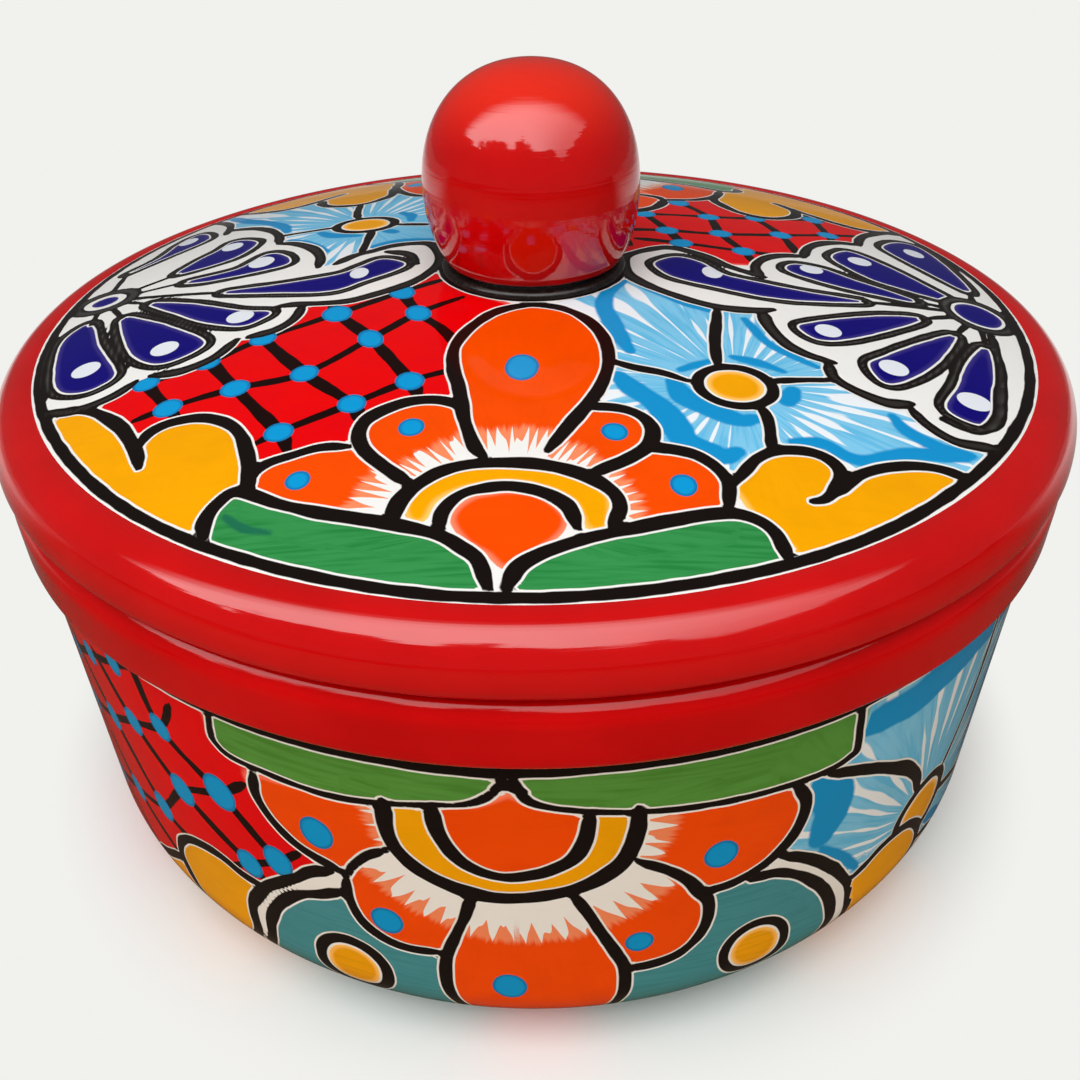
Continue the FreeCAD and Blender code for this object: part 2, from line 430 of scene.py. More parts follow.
    def dab(self, x, y, wide, tall=None, kind="dab", slant=0.0):
        """An oval touch of the brush: its middle, and its half width and height in mm."""
        x, y = np.array([x, y], float) * self.unit
        tall = tall or wide
        dx, dy = self.x - x, self.y - y
        lean = math.radians(slant)
        across = dx * math.cos(lean) + dy * math.sin(lean)
        up = dy * math.cos(lean) - dx * math.sin(lean)
        reach = np.hypot(across / wide, up / tall)
        distance = (reach - 1) * min(wide, tall)
        near = np.nonzero(distance < self.REACH)[0]
        self.mark(kind, near, distance[near])

    def eye(self, x, y, wide, tall, ring, hue=YELLOW, gap=0.6):
        """A flower's eye: an oval of glaze, a thread of white and a ring of outline."""
        middle = np.array([x, y], float) * self.unit
        reach = np.hypot((self.x - middle[0]) / wide, (self.y - middle[1]) / tall)
        distance = (reach - 1) * (wide + tall) / 2
        near = np.nonzero(distance < self.REACH)[0]
        distance = distance[near]
        within = distance < gap + ring / 2
        yolk = near[within]
        for kind in self.marks:
            self.marks[kind][yolk] = self.REACH
        self.marks["cell"][yolk] = distance[within]
        self.glaze[yolk] = colour(hue)
        self.sky[yolk] = 0
        self.petal[yolk] = self.NO_PETAL
        self.mark("ink", near, np.abs(distance - gap - ring / 2) - ring / 2)

    def drop(self, outline, pearl, eye, thick=2.2):
        """A cobalt drop of a fan: white thread, washed outline, a stroke that joins it to the
        fan's eye, and a white pearl in its head."""
        near, gap = self.flood(outline, COBALT)
        changed = self.mark("ink", near, np.abs(gap - 0.5 - thick / 2) - thick / 2)
        self.wash[changed] = 1.0
        tip = min(outline, key=lambda spot: math.dist(spot * self.unit, eye * self.unit))
        middle = ((tip[0] + eye[0]) / 2, (tip[1] + eye[1]) / 2)
        self.brush([tip, middle, eye], 1.7, wash=0.6, point=6)
        self.dab(*pearl[:2], *pearl[2:], kind="pearl")

    def dry(self):
        """Leaves the marks on the mesh, where the glaze's material finds them."""
        mesh = self.piece.data
        fields = {**self.marks, "petal": self.petal, "sky": self.sky, "wash": self.wash,
                  "streaky": self.streaky}
        for name, values in fields.items():
            mesh.attributes.new(name, "FLOAT", "POINT").data.foreach_set("value", values)
        mesh.attributes.new("stroke", "FLOAT_VECTOR", "POINT").data.foreach_set(
            "vector", self.stroke.ravel()
        )
        mesh.attributes.new("glaze", "FLOAT_COLOR", "POINT").data.foreach_set(
            "color", self.glaze.ravel()
        )


def painted_glaze(name, tooth, short, long, blue):
    """Hand-painted majolica under a clear gloss: bright opaque glazes with threads of white
    between them and the sunk, slightly duller black outlines. The marks are in mm: tooth is half
    the width of a petal's spikes, short to long their length, and more blue leaves less white."""
    material, tree, shader = new_material(name)
    place = add(tree, "ShaderNodeTexCoord").outputs["Object"]
    stroke = add(tree, "ShaderNodeAttribute", attribute_name="stroke").outputs["Vector"]
    glaze = add(tree, "ShaderNodeAttribute", attribute_name="glaze").outputs["Color"]
    kinds = ("ink", "net", "cell", "dab", "pearl", "deep", "petal", "sky", "wash", "streaky")
    mark = {kind: add(tree, "ShaderNodeAttribute", attribute_name=kind).outputs["Fac"] for kind in kinds}

    # a hand is never steady: edges wander by a tenth of a millimetre every 5 or 6 mm
    unsteady = add(tree, NOISE, {"Vector": place, "Scale": 180.0, "Detail": 1.0})
    tremor = add(tree, RAMP, {0: unsteady, 1: 0.3, 2: 0.7, 3: -0.1, 4: 0.1})
    ink = add(tree, MATH, {0: mark["ink"], 1: tremor})
    net = add(tree, MATH, {0: mark["net"], 1: tremor})
    cell = add(tree, MATH, {0: mark["cell"], 1: tremor}, operation="SUBTRACT")
    dab = add(tree, MATH, {0: mark["dab"], 1: tremor})

    # the brush's own axes: across the pull and along it
    pulled = add(tree, SPLIT, {0: stroke})
    fine = add(tree, VECTOR, {0: stroke, 1: (1.0, 0.06, 1)}, **TIMES)
    hairs = add(tree, NOISE, {"Vector": fine, "Scale": 1.0, "Detail": 2.0})
    loose = add(tree, VECTOR, {0: stroke, 1: (0.3, 0.0, 1)}, **TIMES)
    drift = add(tree, NOISE, {"Vector": loose, "Scale": 1.0, "Detail": 1.0})
    across = add(tree, MATH, {0: drift, 1: 4.5, 2: pulled.outputs[0]}, operation="MULTIPLY_ADD")

    # a glaze is lighter where it thins beside the white threads, and darker where it pools
    lighter, darker = (
        add(tree, "ShaderNodeHueSaturation", {"Hue": h, "Saturation": s, "Value": v, "Color": glaze})
        for h, s, v in ((0.508, 0.86, 1.25), (0.498, 1.05, 0.78))
    )
    pools = add(tree, NOISE, {"Vector": place, "Scale": 110.0, "Detail": 3.0})
    pools = add(tree, RAMP, {0: pools, 1: 0.35, 2: 0.75, 3: 0.0, 4: 0.3})
    streak = add(tree, RAMP, {0: hairs, 1: 0.42, 2: 0.7}, **SOFT)
    streak = add(tree, MATH, {0: streak, 1: mark["streaky"], 2: pools}, operation="MULTIPLY_ADD")
    body = add(tree, MIX, {0: streak, 6: glaze, 7: darker}, **RGBA).outputs[2]
    thin_and_top_light = add(tree, RAMP, {0: cell, 1: -1.5, 2: -0.2, 3: 0.0, 4: 0.75}, **SOFT)
    body = add(tree, MIX, {0: thin_and_top_light, 6: body, 7: lighter}, **RGBA).outputs[2]

    # petals: solid colour, then pale spikes that thin out to bare white at the flower's heart
    spike = add(tree, MATH, {0: across, 1: tooth}, operation="PINGPONG")
    length = add(tree, RAMP, {0: drift, 1: 0.3, 2: 0.7, 3: short / tooth, 4: long / tooth})
    spike = add(tree, MATH, {0: spike, 1: length}, **TIMES)
    torn = add(tree, MATH, {0: mark["petal"], 1: spike})
    bare = add(tree, RAMP, {0: torn, 1: 0.3, 2: 0.7}, **SOFT)
    edge = add(tree, RAMP, {0: hairs, 1: 0.3, 2: 0.7, 3: -1.0, 4: 1.0})
    edge = add(tree, MATH, {0: mark["petal"], 1: edge})
    solid = add(tree, RAMP, {0: edge, 1: -1.0, 2: 1.4, 3: 0.55, 4: 0.0}, **SOFT)
    body = add(tree, MIX, {0: solid, 6: body, 7: colour("FFB080")}, **RGBA).outputs[2]

    # sky petals: white wedges pulled outwards, mid-blue streaks, and deep blue laid over wet
    wedge = add(tree, MATH, {0: across, 1: 1.7}, operation="PINGPONG")
    outward = add(tree, RAMP, {0: pulled.outputs[1], 1: 7.0, 2: 21.0, 3: 2.3, 4: blue})
    clouds = add(tree, NOISE, {"Vector": place, "Scale": 55.0, "Detail": 1.0})
    clouds = add(tree, RAMP, {0: clouds, 1: 0.3, 2: 0.7, 3: 0.8, 4: -0.8})
    outward = add(tree, MATH, {0: outward, 1: clouds})
    wedge = add(tree, MATH, {0: wedge, 1: outward}, operation="SUBTRACT")
    wedge = add(tree, RAMP, {0: wedge, 1: 0.0, 2: 0.3, 3: 0.0, 4: 0.92}, **SOFT)
    wedge = add(tree, MATH, {0: wedge, 1: mark["sky"]}, **TIMES)
    washed = add(tree, RAMP, {0: hairs, 1: 0.45, 2: 0.62, 3: 0.0, 4: 0.55}, **SOFT)
    washed = add(tree, MATH, {0: washed, 1: mark["sky"]}, **TIMES)
    body = add(tree, MIX, {0: washed, 6: body, 7: colour("4DB9EA")}, **RGBA).outputs[2]
    body = add(tree, MIX, {0: wedge, 6: body, 7: colour("FBFDFF")}, **RGBA).outputs[2]
    deep = add(tree, MATH, {0: mark["deep"], 1: tremor})
    deep = add(tree, RAMP, {0: deep, 1: 0.45, 2: -0.35}, **SOFT)
    over = add(tree, MIX, {0: mark["sky"], 6: colour("1F7050"), 7: colour(DEEP_BLUE)}, **RGBA).outputs[2]
    body = add(tree, MIX, {0: deep, 6: body, 7: over}, **RGBA).outputs[2]

    # the white slip, the glazes up to their threads of white, and the lines, dabs and pearls
    threads = add(tree, RAMP, {0: ink, 1: 0.36, 2: 0.52}, **SOFT)
    covered = add(tree, RAMP, {0: cell, 1: 0.12, 2: -0.12}, **SOFT)
    covered = add(tree, MATH, {0: covered, 1: threads}, **TIMES)
    covered = add(tree, MATH, {0: covered, 1: bare}, **TIMES)
    surface = add(tree, MIX, {0: covered, 6: colour(WHITE), 7: body}, **RGBA).outputs[2]
    lines = add(tree, RAMP, {0: net, 1: 0.12, 2: -0.12}, **SOFT)
    lines = add(tree, MATH, {0: lines, 1: covered}, **TIMES)
    surface = add(tree, MIX, {0: lines, 6: surface, 7: colour("1B0706")}, **RGBA).outputs[2]
    rim = add(tree, RAMP, {0: dab, 1: -0.2, 2: -0.9}, **SOFT)
    dot = add(tree, MIX, {0: rim, 6: colour("1479B4"), 7: colour(DOT_BLUE)}, **RGBA).outputs[2]
    dab = add(tree, RAMP, {0: dab, 1: 0.1, 2: -0.1}, **SOFT)
    surface = add(tree, MIX, {0: dab, 6: surface, 7: dot}, **RGBA).outputs[2]
    pearl = add(tree, RAMP, {0: mark["pearl"], 1: 0.1, 2: -0.1}, **SOFT)
    surface = add(tree, MIX, {0: pearl, 6: surface, 7: colour("EDF1F8")}, **RGBA).outputs[2]
    core = add(tree, RAMP, {0: ink, 1: -0.5, 2: -1.3, 3: 0.0, 4: 0.7}, **SOFT)
    core = add(tree, MATH, {0: core, 1: mark["wash"]}, **TIMES)
    black = add(tree, MIX, {0: core, 6: colour(OUTLINE_BLACK), 7: colour("5A5855")}, **RGBA).outputs[2]
    inked = add(tree, RAMP, {0: ink, 1: 0.1, 2: -0.1}, **SOFT)
    surface = add(tree, MIX, {0: inked, 6: surface, 7: black}, **RGBA).outputs[2]

    # the glazes stand a little proud of the outlines, and their skin dimples as it cools
    raised = add(tree, MATH, {0: covered, 1: inked}, operation="SUBTRACT")
    dimples = add(tree, NOISE, {"Vector": place, "Scale": 260.0, "Detail": 2.0})
    raised = add(tree, MATH, {0: dimples, 1: 0.12, 2: raised}, operation="MULTIPLY_ADD")
    relief = add(tree, "ShaderNodeBump", {"Strength": 0.35, "Distance": 0.0002, "Height": raised})
    smear = add(tree, NOISE, {"Vector": place, "Scale": 90.0})
    gloss = add(tree, RAMP, {0: smear, 1: 0.3, 2: 0.7, 3: 0.04, 4: 0.09})
    gloss = add(tree, MATH, {0: inked, 1: 0.08, 2: gloss}, operation="MULTIPLY_ADD")
    tree.links.new(surface, shader.inputs["Base Color"])
    tree.links.new(gloss.outputs[0], shader.inputs["Roughness"])
    tree.links.new(relief.outputs[0], shader.inputs["Normal"])
    shader.inputs["Specular IOR Level"].default_value = 0.15
    return material


def map_rings(piece, lane):
    """Unrolls the piece into its own map: lane gives each corner its place in the square."""
    mesh = piece.data
    layer = mesh.uv_layers.new(name="OFBake")
    corner = np.empty(len(mesh.loops), int)
    mesh.loops.foreach_get("vertex_index", corner)
    sides = np.empty(len(mesh.polygons), int)
    mesh.polygons.foreach_get("loop_total", sides)
    face = np.repeat(np.arange(len(sides)), sides)
    place = corners_of(piece)[corner]
    middle = np.empty(len(mesh.polygons) * 3)
    mesh.polygons.foreach_get("center", middle)
    middle = middle.reshape(-1, 3) / MM
    normal = np.empty(len(mesh.polygons) * 3)
    mesh.polygons.foreach_get("normal", normal)
    layer.data.foreach_set("uv", lane(place, middle[face], normal.reshape(-1, 3)[face]).ravel())


def disc(middle, reach, radius, turn):
    """Places in the square of what is laid out as a disc, which reach scales from mm."""
    return np.stack([middle[0] + reach * radius * np.cos(turn),
                     middle[1] + reach * radius * np.sin(turn)], 1)


wall_foot = UNDERSIDE + CORNER
wall_outside = run((WALL_RADIUS, WALL_TOP), (WALL_FOOT_RADIUS, wall_foot), 72)
turn_in = WALL_FOOT_RADIUS - CORNER
corner_outside = arc((turn_in, wall_foot), CORNER, 0, -90, 36)
underside = run((turn_in, UNDERSIDE), (0, UNDERSIDE), 6)
inside_floor = run((0, FLOOR_TOP), (turn_in, FLOOR_TOP), 6)
inside_turn = arc((turn_in, FLOOR_TOP + INSIDE_CORNER), INSIDE_CORNER, -90, 0, 8)
inside_wall = run(
    (WALL_FOOT_RADIUS - WALL_THICKNESS, FLOOR_TOP + INSIDE_CORNER),
    (WALL_RADIUS - WALL_THICKNESS, WALL_TOP),
    8,
)
bowl = lathe(
    "painted_bowl",
    wall_outside + corner_outside + underside + inside_floor + inside_turn + inside_wall,
    BOWL_STEPS,
)

spots = corners_of(bowl)
bearing = np.degrees(np.arctan2(spots[:, 1], spots[:, 0]))
spread = np.hypot(spots[:, 0], spots[:, 1])
below_turn = np.degrees(np.arctan2(spread - turn_in, wall_foot - spots[:, 2]))
on_corner = (spots[:, 2] < wall_foot) & (spread >= turn_in - 0.01)
down = np.where(
    on_corner,
    WALL_TOP - wall_foot + np.radians(90 - below_turn) * CORNER,
    WALL_TOP - spots[:, 2],
)
outside = np.where(on_corner, np.hypot(spread - turn_in, wall_foot - spots[:, 2]) > CORNER - 1,
                   spread > WALL_FOOT_RADIUS - 1) & (spots[:, 2] < WALL_TOP + 0.1)
down = np.where(outside & (down < PAINTED_TO), down, -500.0)

# a lid lies loose on its bowl. Here both stand on one axis, so the drawing on the wall is moved
# instead, round it and down it, by what the viewer would see of the bowl's place off the lid's axis
OFF_RIGHT = 3.27
OFF_FORWARD = 3.11
VIEWER_AWAY = 242.0
STEEPEST = 1.08         # radians between the wall and the line of sight, from which it stays the same


def bowl_flat(turn):
    """Where each vertex is on the unrolled wall: mm along it from due east, and mm upwards."""
    middle = -82.0
    turned = (bearing - turn - middle + 180) % 360 - 180 + middle
    swing = np.radians(turned + 90)
    across, away = WALL_RADIUS * np.sin(swing), VIEWER_AWAY - WALL_RADIUS * np.cos(swing)
    slant = np.clip(swing + np.arctan2(across, away), -STEEPEST, STEEPEST)
    out = OFF_RIGHT * np.sin(swing) + OFF_FORWARD * np.cos(swing)
    aside = OFF_RIGHT * np.cos(swing) - OFF_FORWARD * np.sin(swing) + out * np.tan(slant)
    lower = out * (0.98 + 0.0075 * np.clip(down, 0, 70)) / np.cos(slant)
    lower *= 0.55 + 0.045 * np.clip(down, 0, 10)
    return turned * MM_PER_DEGREE - aside, lower - down


wall_art = Painting(bowl, bowl_flat, (MM_PER_DEGREE, -1))


def bowl_net(art):
    """A red field crossed by a black net, with a blue dab on every knot."""
    art.flood([(-114, -12), (-112, 0), (-108, 20), (-112, 45), (-120, 60), (-135, 70), (-142.5, 79),
        (-146, 90), (-150, 99), (-176, 99), (-190, 60), (-199, 20), (-199, -14)], CELL_RED)
    for points, width in (
        ([(-131, 1), (-129, 14.5), (-122.3, 24), (-116.8, 37.8), (-114.5, 42)], 2.6),
        ([(-140, 8), (-134.8, 21.2), (-128.6, 32), (-120.8, 43.6), (-119, 48)], 2.6),
        ([(-148, 13), (-141, 29.5), (-134.5, 46.9), (-129.5, 51)], 2.5),
        ([(-163, 0), (-160, 9), (-155, 20), (-148.5, 37), (-141.5, 53.5), (-134.5, 63)], 2.5),
        ([(-172, 0), (-170, 7), (-166, 18), (-160, 31), (-155, 45), (-148.5, 61.5), (-140, 74)], 2.4),
        ([(-118.5, 17), (-122.3, 24), (-128.6, 32), (-134.5, 46.9), (-141.5, 53.5), (-148.5, 61.5),
          (-152, 67), (-158, 72), (-161, 76)], 2.0),
        ([(-126, 5), (-129, 14.5), (-134.8, 21.2), (-141, 29.5), (-148.5, 37), (-155, 45),
          (-158, 48), (-163, 52)], 2.0),
        ([(-131, 1), (-135, 5.6), (-141.5, 12), (-148, 20), (-155, 28), (-161, 33), (-168, 40)],
         2.0),
        ([(-113.5, 31), (-116.8, 37.8), (-120.8, 43.6), (-124, 49)], 2.0),
        ([(-178, 2), (-174, 16), (-168, 32), (-162, 46), (-156, 60), (-149, 74), (-146, 82)], 2.4),
        ([(-187, 5), (-184, 14), (-179, 28), (-172, 44)], 2.4),
        ([(-146, 2), (-153, 9), (-160, 12), (-168, 20), (-175, 27), (-180, 32)], 2.0),
        ([(-160, 1), (-167, 6), (-174, 12), (-181, 19), (-185, 24)], 2.0),
    ):
        art.brush(points, width, "net")
    for x, y, wide, tall in (
        (-159.5, 11.5, 3, 3.4), (-160.5, 32.4, 3, 3.4), (-166.6, 18, 3, 3.4), (-169.6, 8.4, 3, 3.4),
        (-160.5, 50, 3, 3.4), (-165.8, 37.5, 3, 3.4), (-171.3, 23.8, 3, 3.4), (-175, 13, 3, 3.4),
        (-152.5, 67.4, 3, 3.4), (-178, 30, 3, 3.4), (-182, 19.6, 3, 3.4),
        (-135, 5.6, 2.9, 3.1), (-129, 14.5, 3.2, 3.4), (-134.8, 21.2, 3.3, 3.6),
        (-122.3, 24, 4.2, 5), (-128.6, 32, 3.8, 4.4), (-116.8, 37.8, 3.6, 4.6),
        (-120.8, 43.6, 3.4, 4.2), (-134.5, 46.9, 3.6, 4.2), (-141, 29.5, 3.4, 3.8),
        (-148.5, 37, 3.4, 3.8), (-141.5, 53.5, 3.4, 3.8), (-148.5, 61.5, 3.2, 3.6),
        (-155, 45, 3, 3.4), (-148, 20, 3.2, 3.5), (-155, 28, 3, 3.4), (-141.5, 12, 3, 3.2),
    ):
        art.dab(x, y, wide, tall)


def bowl_blue_flower(art):
    """A sky-blue flower, its four petals parted by thin black lines."""
    art.flood([(-64.6, -12), (-65, 0), (-71, 9), (-74, 20), (-72, 28), (-69.5, 31), (-66, 40), (-62, 50),
        (-58, 60), (-50, 64), (-44, 70), (-42, 99), (-25, 99), (-12, 60), (-10.5, 20), (-10.5, -8),
        (-13, -15), (-40, -15)], SKY, (-50, 41, 180))
    for points, width in (
        ([(-64.5, 2), (-55, -0.5), (-46.5, -2), (-36, -3)], 6.0),
        ([(-67, 13), (-65.4, 20), (-66, 29)], 9.6),
        ([(-65.5, 33), (-62.5, 39), (-60.5, 44)], 3.4),
        ([(-46.5, 50), (-43, 54), (-39.5, 60)], 4.4),
        ([(-36.5, 12), (-37.5, 26), (-38.5, 40)], 4.4),
    ):
        art.brush(points, width, "deep", point=5)
    art.eye(-50, 41, 7.9, 7.3, 2.8)
    art.brush([(-52.2, 32), (-53.5, 26), (-56.5, 19.5), (-61, 14.5), (-66.5, 10.8)], 3.2)
    art.brush([(-46.8, 34), (-44.5, 24), (-43, 12), (-43, -6)], 2.0)
    art.brush([(-45.5, 42), (-41.5, 45), (-37, 49)], 2.4)


def bowl_roundels(art):
    """A teal roundel with a yellow eye on either side of the daisy's tip."""
    art.shape([(-69.9, 30.6), (-67.2, 33.9), (-64.5, 38.8), (-62.2, 44.6), (-60.6, 50.4), (-60, 57),
        (-60, 64.4), (-61.4, 70.2), (-61.4, 74.3), (-59.8, 80), (-59.5, 86), (-61.5, 92), (-66, 97.5)],
        WHITE, 2.9, [(-75, 97.5), (-75, 36)])
    art.shape([(-72.6, 35.5), (-70.3, 35.5), (-67.6, 38.8), (-64.9, 44.6), (-63.1, 51.2), (-62.3, 57.8),
        (-62.7, 64.4), (-64.3, 70.2), (-64.9, 74.3), (-64.1, 80), (-65, 86), (-68, 91.5), (-73, 94.5)],
        TEAL, 2.9, [(-80, 97), (-87, 96.5), (-88, 85), (-86, 60), (-82, 45), (-78, 36)])
    art.eye(-71, 58.9, 5.3, 6.4, 2.4)
    art.shape([(-110.9, 34.3), (-113.1, 36.9), (-115.1, 41), (-117, 44.5), (-119.5, 49.8), (-121.9, 58),
        (-122.4, 63.3), (-122.5, 69), (-123.9, 76), (-124.5, 84), (-122, 92), (-117.5, 97.5)], WHITE, 3.0,
        [(-105, 97.5), (-105, 40)])
    art.shape([(-110.1, 40), (-112.6, 43.4), (-115.1, 46.3), (-117.3, 51), (-118.9, 56.2), (-120, 62),
        (-120.4, 68), (-121.4, 74.4), (-120.8, 83), (-117.5, 90), (-112, 94.5)], TEAL, 3.0, [(-104, 97),
        (-98, 96), (-97, 85), (-98, 60), (-103, 45), (-108, 38)])
    art.eye(-110.4, 65.3, 5.8, 6.7, 3.0)


def bowl_hearts(art):
    """Yellow heart-shaped lobes that stand on the foot line."""
    upper = [(-120, 49.4), (-122.3, 49.4), (-125.3, 47.6), (-128.2, 48.7), (-130.9, 51.5), (-132.9, 55.8),
        (-133.9, 61.4), (-133.5, 66.3), (-132.5, 70.6), (-131.9, 73.4), (-133.2, 76.2)]
    lower = [(-133.9, 63.4), (-135.2, 65), (-137.8, 69.2), (-140.5, 73.4), (-141.6, 79), (-141.5, 87),
        (-137.5, 94.5), (-132, 98)]
    art.flood([*upper[:7], *lower[1:], (-124, 98), (-124.4, 84), (-123.9, 76), (-122.5, 69),
        (-121.9, 58)], YELLOW)
    art.brush(upper, 2.7)
    art.brush(lower, 2.7)
    upper = [(-60.6, 47.5), (-57.5, 43), (-54, 42), (-51, 44), (-48.7, 48.5), (-48, 53.5), (-49, 59),
        (-50.5, 64), (-53.8, 68)]
    lower = [(-47.2, 54.5), (-44, 56.5), (-41.5, 61), (-40.7, 67), (-40.2, 77), (-41.5, 86), (-47.5, 94),
        (-52, 98)]
    art.flood([*upper[:6], *lower, (-60, 98), (-59.5, 84), (-61.4, 74.3), (-60.2, 66), (-60, 57)], YELLOW,
        cover=True)
    art.brush(upper, 2.7, point=9)
    art.brush(lower, 2.7)


def bowl_flower(art):
    """Half an orange daisy that hangs from two green leaves under the band."""
    heart = (-94, 11)
    art.shape([(-117, 12.6), (-117.4, 17.6), (-117, 21.7), (-115.6, 26.4), (-113.7, 30), (-111.5, 32),
        (-109.6, 33.7)], ORANGE, 2.5, [(-108.5, 31), (-107, 26.9), (-105, 23.4), (-104.6, 17),
        (-105, 11.5)], heart, 27)
    art.shape([(-109.3, 35), (-109.5, 39.8), (-109, 45.7), (-107.9, 49.8), (-106, 52.7), (-103.8, 53.6),
        (-101, 53)], ORANGE, 2.5, [(-98, 45), (-96, 35), (-101, 30.5), (-104.5, 25), (-107, 26.9),
        (-108.5, 31)], heart, 35)
    art.shape([(-70, 10.6), (-68.7, 15.7), (-68.6, 20.6), (-69.5, 26.4), (-71.5, 31.4), (-74.2, 34.7),
        (-76.5, 35.7), (-77.7, 35.5)], ORANGE, 2.6, [(-78.8, 31.4), (-80.8, 27.3), (-83.5, 23.5),
        (-83.7, 15), (-83, 11)], heart, 29)
    art.shape([(-83.5, 23.5), (-80.8, 27.3), (-78.8, 31.4), (-77.7, 35.5), (-76.7, 38.8), (-76.5, 44.6),
        (-77.3, 50.4), (-79.2, 55), (-81.9, 57), (-84, 57)], ORANGE, 2.6, [(-87, 50), (-90, 36),
        (-87.5, 27)], heart, 36)
    art.shape([(-97.7, 33.7), (-98.4, 39.8), (-99.3, 45.7), (-100.1, 51), (-100.6, 55.7), (-100.8, 61.5),
        (-100.5, 67.4), (-99.7, 73.2), (-99.3, 79), (-98.2, 86), (-96.2, 91.5), (-92.5, 94),
        (-88.5, 91.5), (-86.5, 86), (-85.6, 79.3), (-84.6, 71.8), (-83.9, 64.4), (-84, 57), (-84.8, 52),
        (-86.2, 45), (-87.6, 38), (-88.9, 32)], ORANGE, 2.6, (), heart, 36)
    art.brush([(-105, 23.4), (-107, 26.9), (-108.5, 31), (-109.3, 35)], 2.1)
    art.shape([(-104.5, 10), (-104.6, 17.6), (-103.8, 23.4), (-101.9, 28), (-99, 31.6), (-95.8, 33.4),
        (-92.2, 32.8), (-88.7, 30.5), (-86.2, 26.9), (-84.5, 22.3), (-83.7, 15), (-83.7, 9)], YELLOW, 3.4,
        rounded=False)
    art.shape([(-100.4, 9), (-100.2, 15.2), (-99, 21.7), (-97.2, 25.5), (-94.7, 27.2), (-91.7, 25.8),
        (-89.2, 22.3), (-88, 17), (-87.6, 9)], ORANGE, 2.9, [(-91.5, 7.8), (-94, 4.6), (-96.8, 7.8)],
        rounded=False)
    art.shape([(-120, -6), (-121, 5.9), (-120.9, 8.2), (-119.5, 10.5), (-115.6, 11), (-109.8, 11.7),
        (-104.6, 10.5), (-100.5, 9), (-97.2, 7.6), (-95.3, 4.7), (-94.4, 1.2)], OLIVE, 1.6, [(-107, -9)])
    art.shape([(-93.6, 1.2), (-92.5, 6.4), (-88, 9), (-80.4, 10.6), (-72.6, 10.6), (-67.2, 9.7),
        (-64.9, 7.8), (-64.3, 5), (-65.5, -8)], OLIVE, 1.6, [(-79, -9)])
    art.brush([(-95.2, 3.8), (-94.0, 3.0), (-92.9, 4.4)], 2.6)
    for x, y, wide, tall in ((-111.5, 23.7, 3.6, 4.4), (-105.9, 45.7, 3.4, 4.1),
                             (-94.7, 62.4, 3.6, 4.1), (-82.8, 48.5, 2.9, 3.2),
                             (-76.1, 25.4, 3.4, 3.9)):
        art.dab(x, y, wide, tall)


def fan_spot(eye, lean, out, aside=0.0):
    """A spot of a fan in degrees and mm, from how far it is out from the eye along a lean."""
    turn = math.radians(lean)
    across = out * math.sin(turn) + aside * math.cos(turn)
    up = out * math.cos(turn) - aside * math.sin(turn)
    return eye[0] + across / MM_PER_DEGREE, eye[1] - up


def bowl_fan(art):
    """A fan of cobalt drops that opens upwards from its eye at the foot line."""
    eye = (-10.0, 84.0)
    drops = ((-78, 31, 9.5), (-52, 42, 10.5), (-26, 53, 11), (0, 60, 11.5), (26, 53, 11),
             (52, 42, 10.5), (78, 31, 9.5))
    scallops = [
        [fan_spot(eye, lean + a, 15 + size + b) for a, b in ((-14, -8), (-9, 3), (0, 7), (9, 3), (14, -8))]
        for lean, size, wide in drops
    ]
    art.flood([*sum(scallops, []), fan_spot(eye, 96, 30), fan_spot(eye, -96, 30)], WHITE)
    for scallop in scallops:
        art.brush(scallop, 2.9)
    art.brush([(-10, 3), (-10.4, -2), (-10, -10)], 2.6)
    head = ((0, 0), (0.35, 0.2), (0.68, 0.42), (0.88, 0.5), (1.0, 0.3), (1.04, 0.0),
            (1.0, -0.3), (0.88, -0.5), (0.68, -0.42), (0.35, -0.2))
    for lean, size, wide in drops:
        outline = [fan_spot(eye, lean, 15 + size * up, wide * side) for up, side in head]
        art.drop(outline, (*fan_spot(eye, lean, 15 + size * 0.84), 2.6, 3.1), eye)
    art.eye(*eye, 5.4, 5, 2.8, COBALT)


for motif in (bowl_net, bowl_blue_flower, bowl_roundels, bowl_hearts, bowl_fan, bowl_flower):
    for turn in (0, 180):
        wall_art.turn_to(turn)
        motif(wall_art)

# a line turned on the wheel under the band, thickest at the daisies, and one at the foot
line_places = (down - 1.3 - 0.2 * np.sin(np.radians(bearing) * 3),
               down - FOOT_LINE - 0.3 * np.sin(np.radians(bearing) * 2))
swell = np.clip(1 - np.abs((bearing + 94 + 90) % 180 - 90) / 9, 0, 1)
wall_art.marks["ink"] = np.maximum(wall_art.marks["ink"], line_places[1])
for gap, half in zip(line_places, (1.5 + 0.8 * swell, 1.1)):
    wall_art.marks["ink"] = np.minimum(wall_art.marks["ink"], np.abs(gap) - half)
beyond = (down < 1.9) | (down > FOOT_LINE + 1)
for kind in wall_art.marks:
    wall_art.marks[kind][(down < -100) | (beyond & (kind != "ink"))] = Painting.REACH
wall_art.dry()


STRIP = 107.0           # mm from the top of one strip of the wall's map to the next


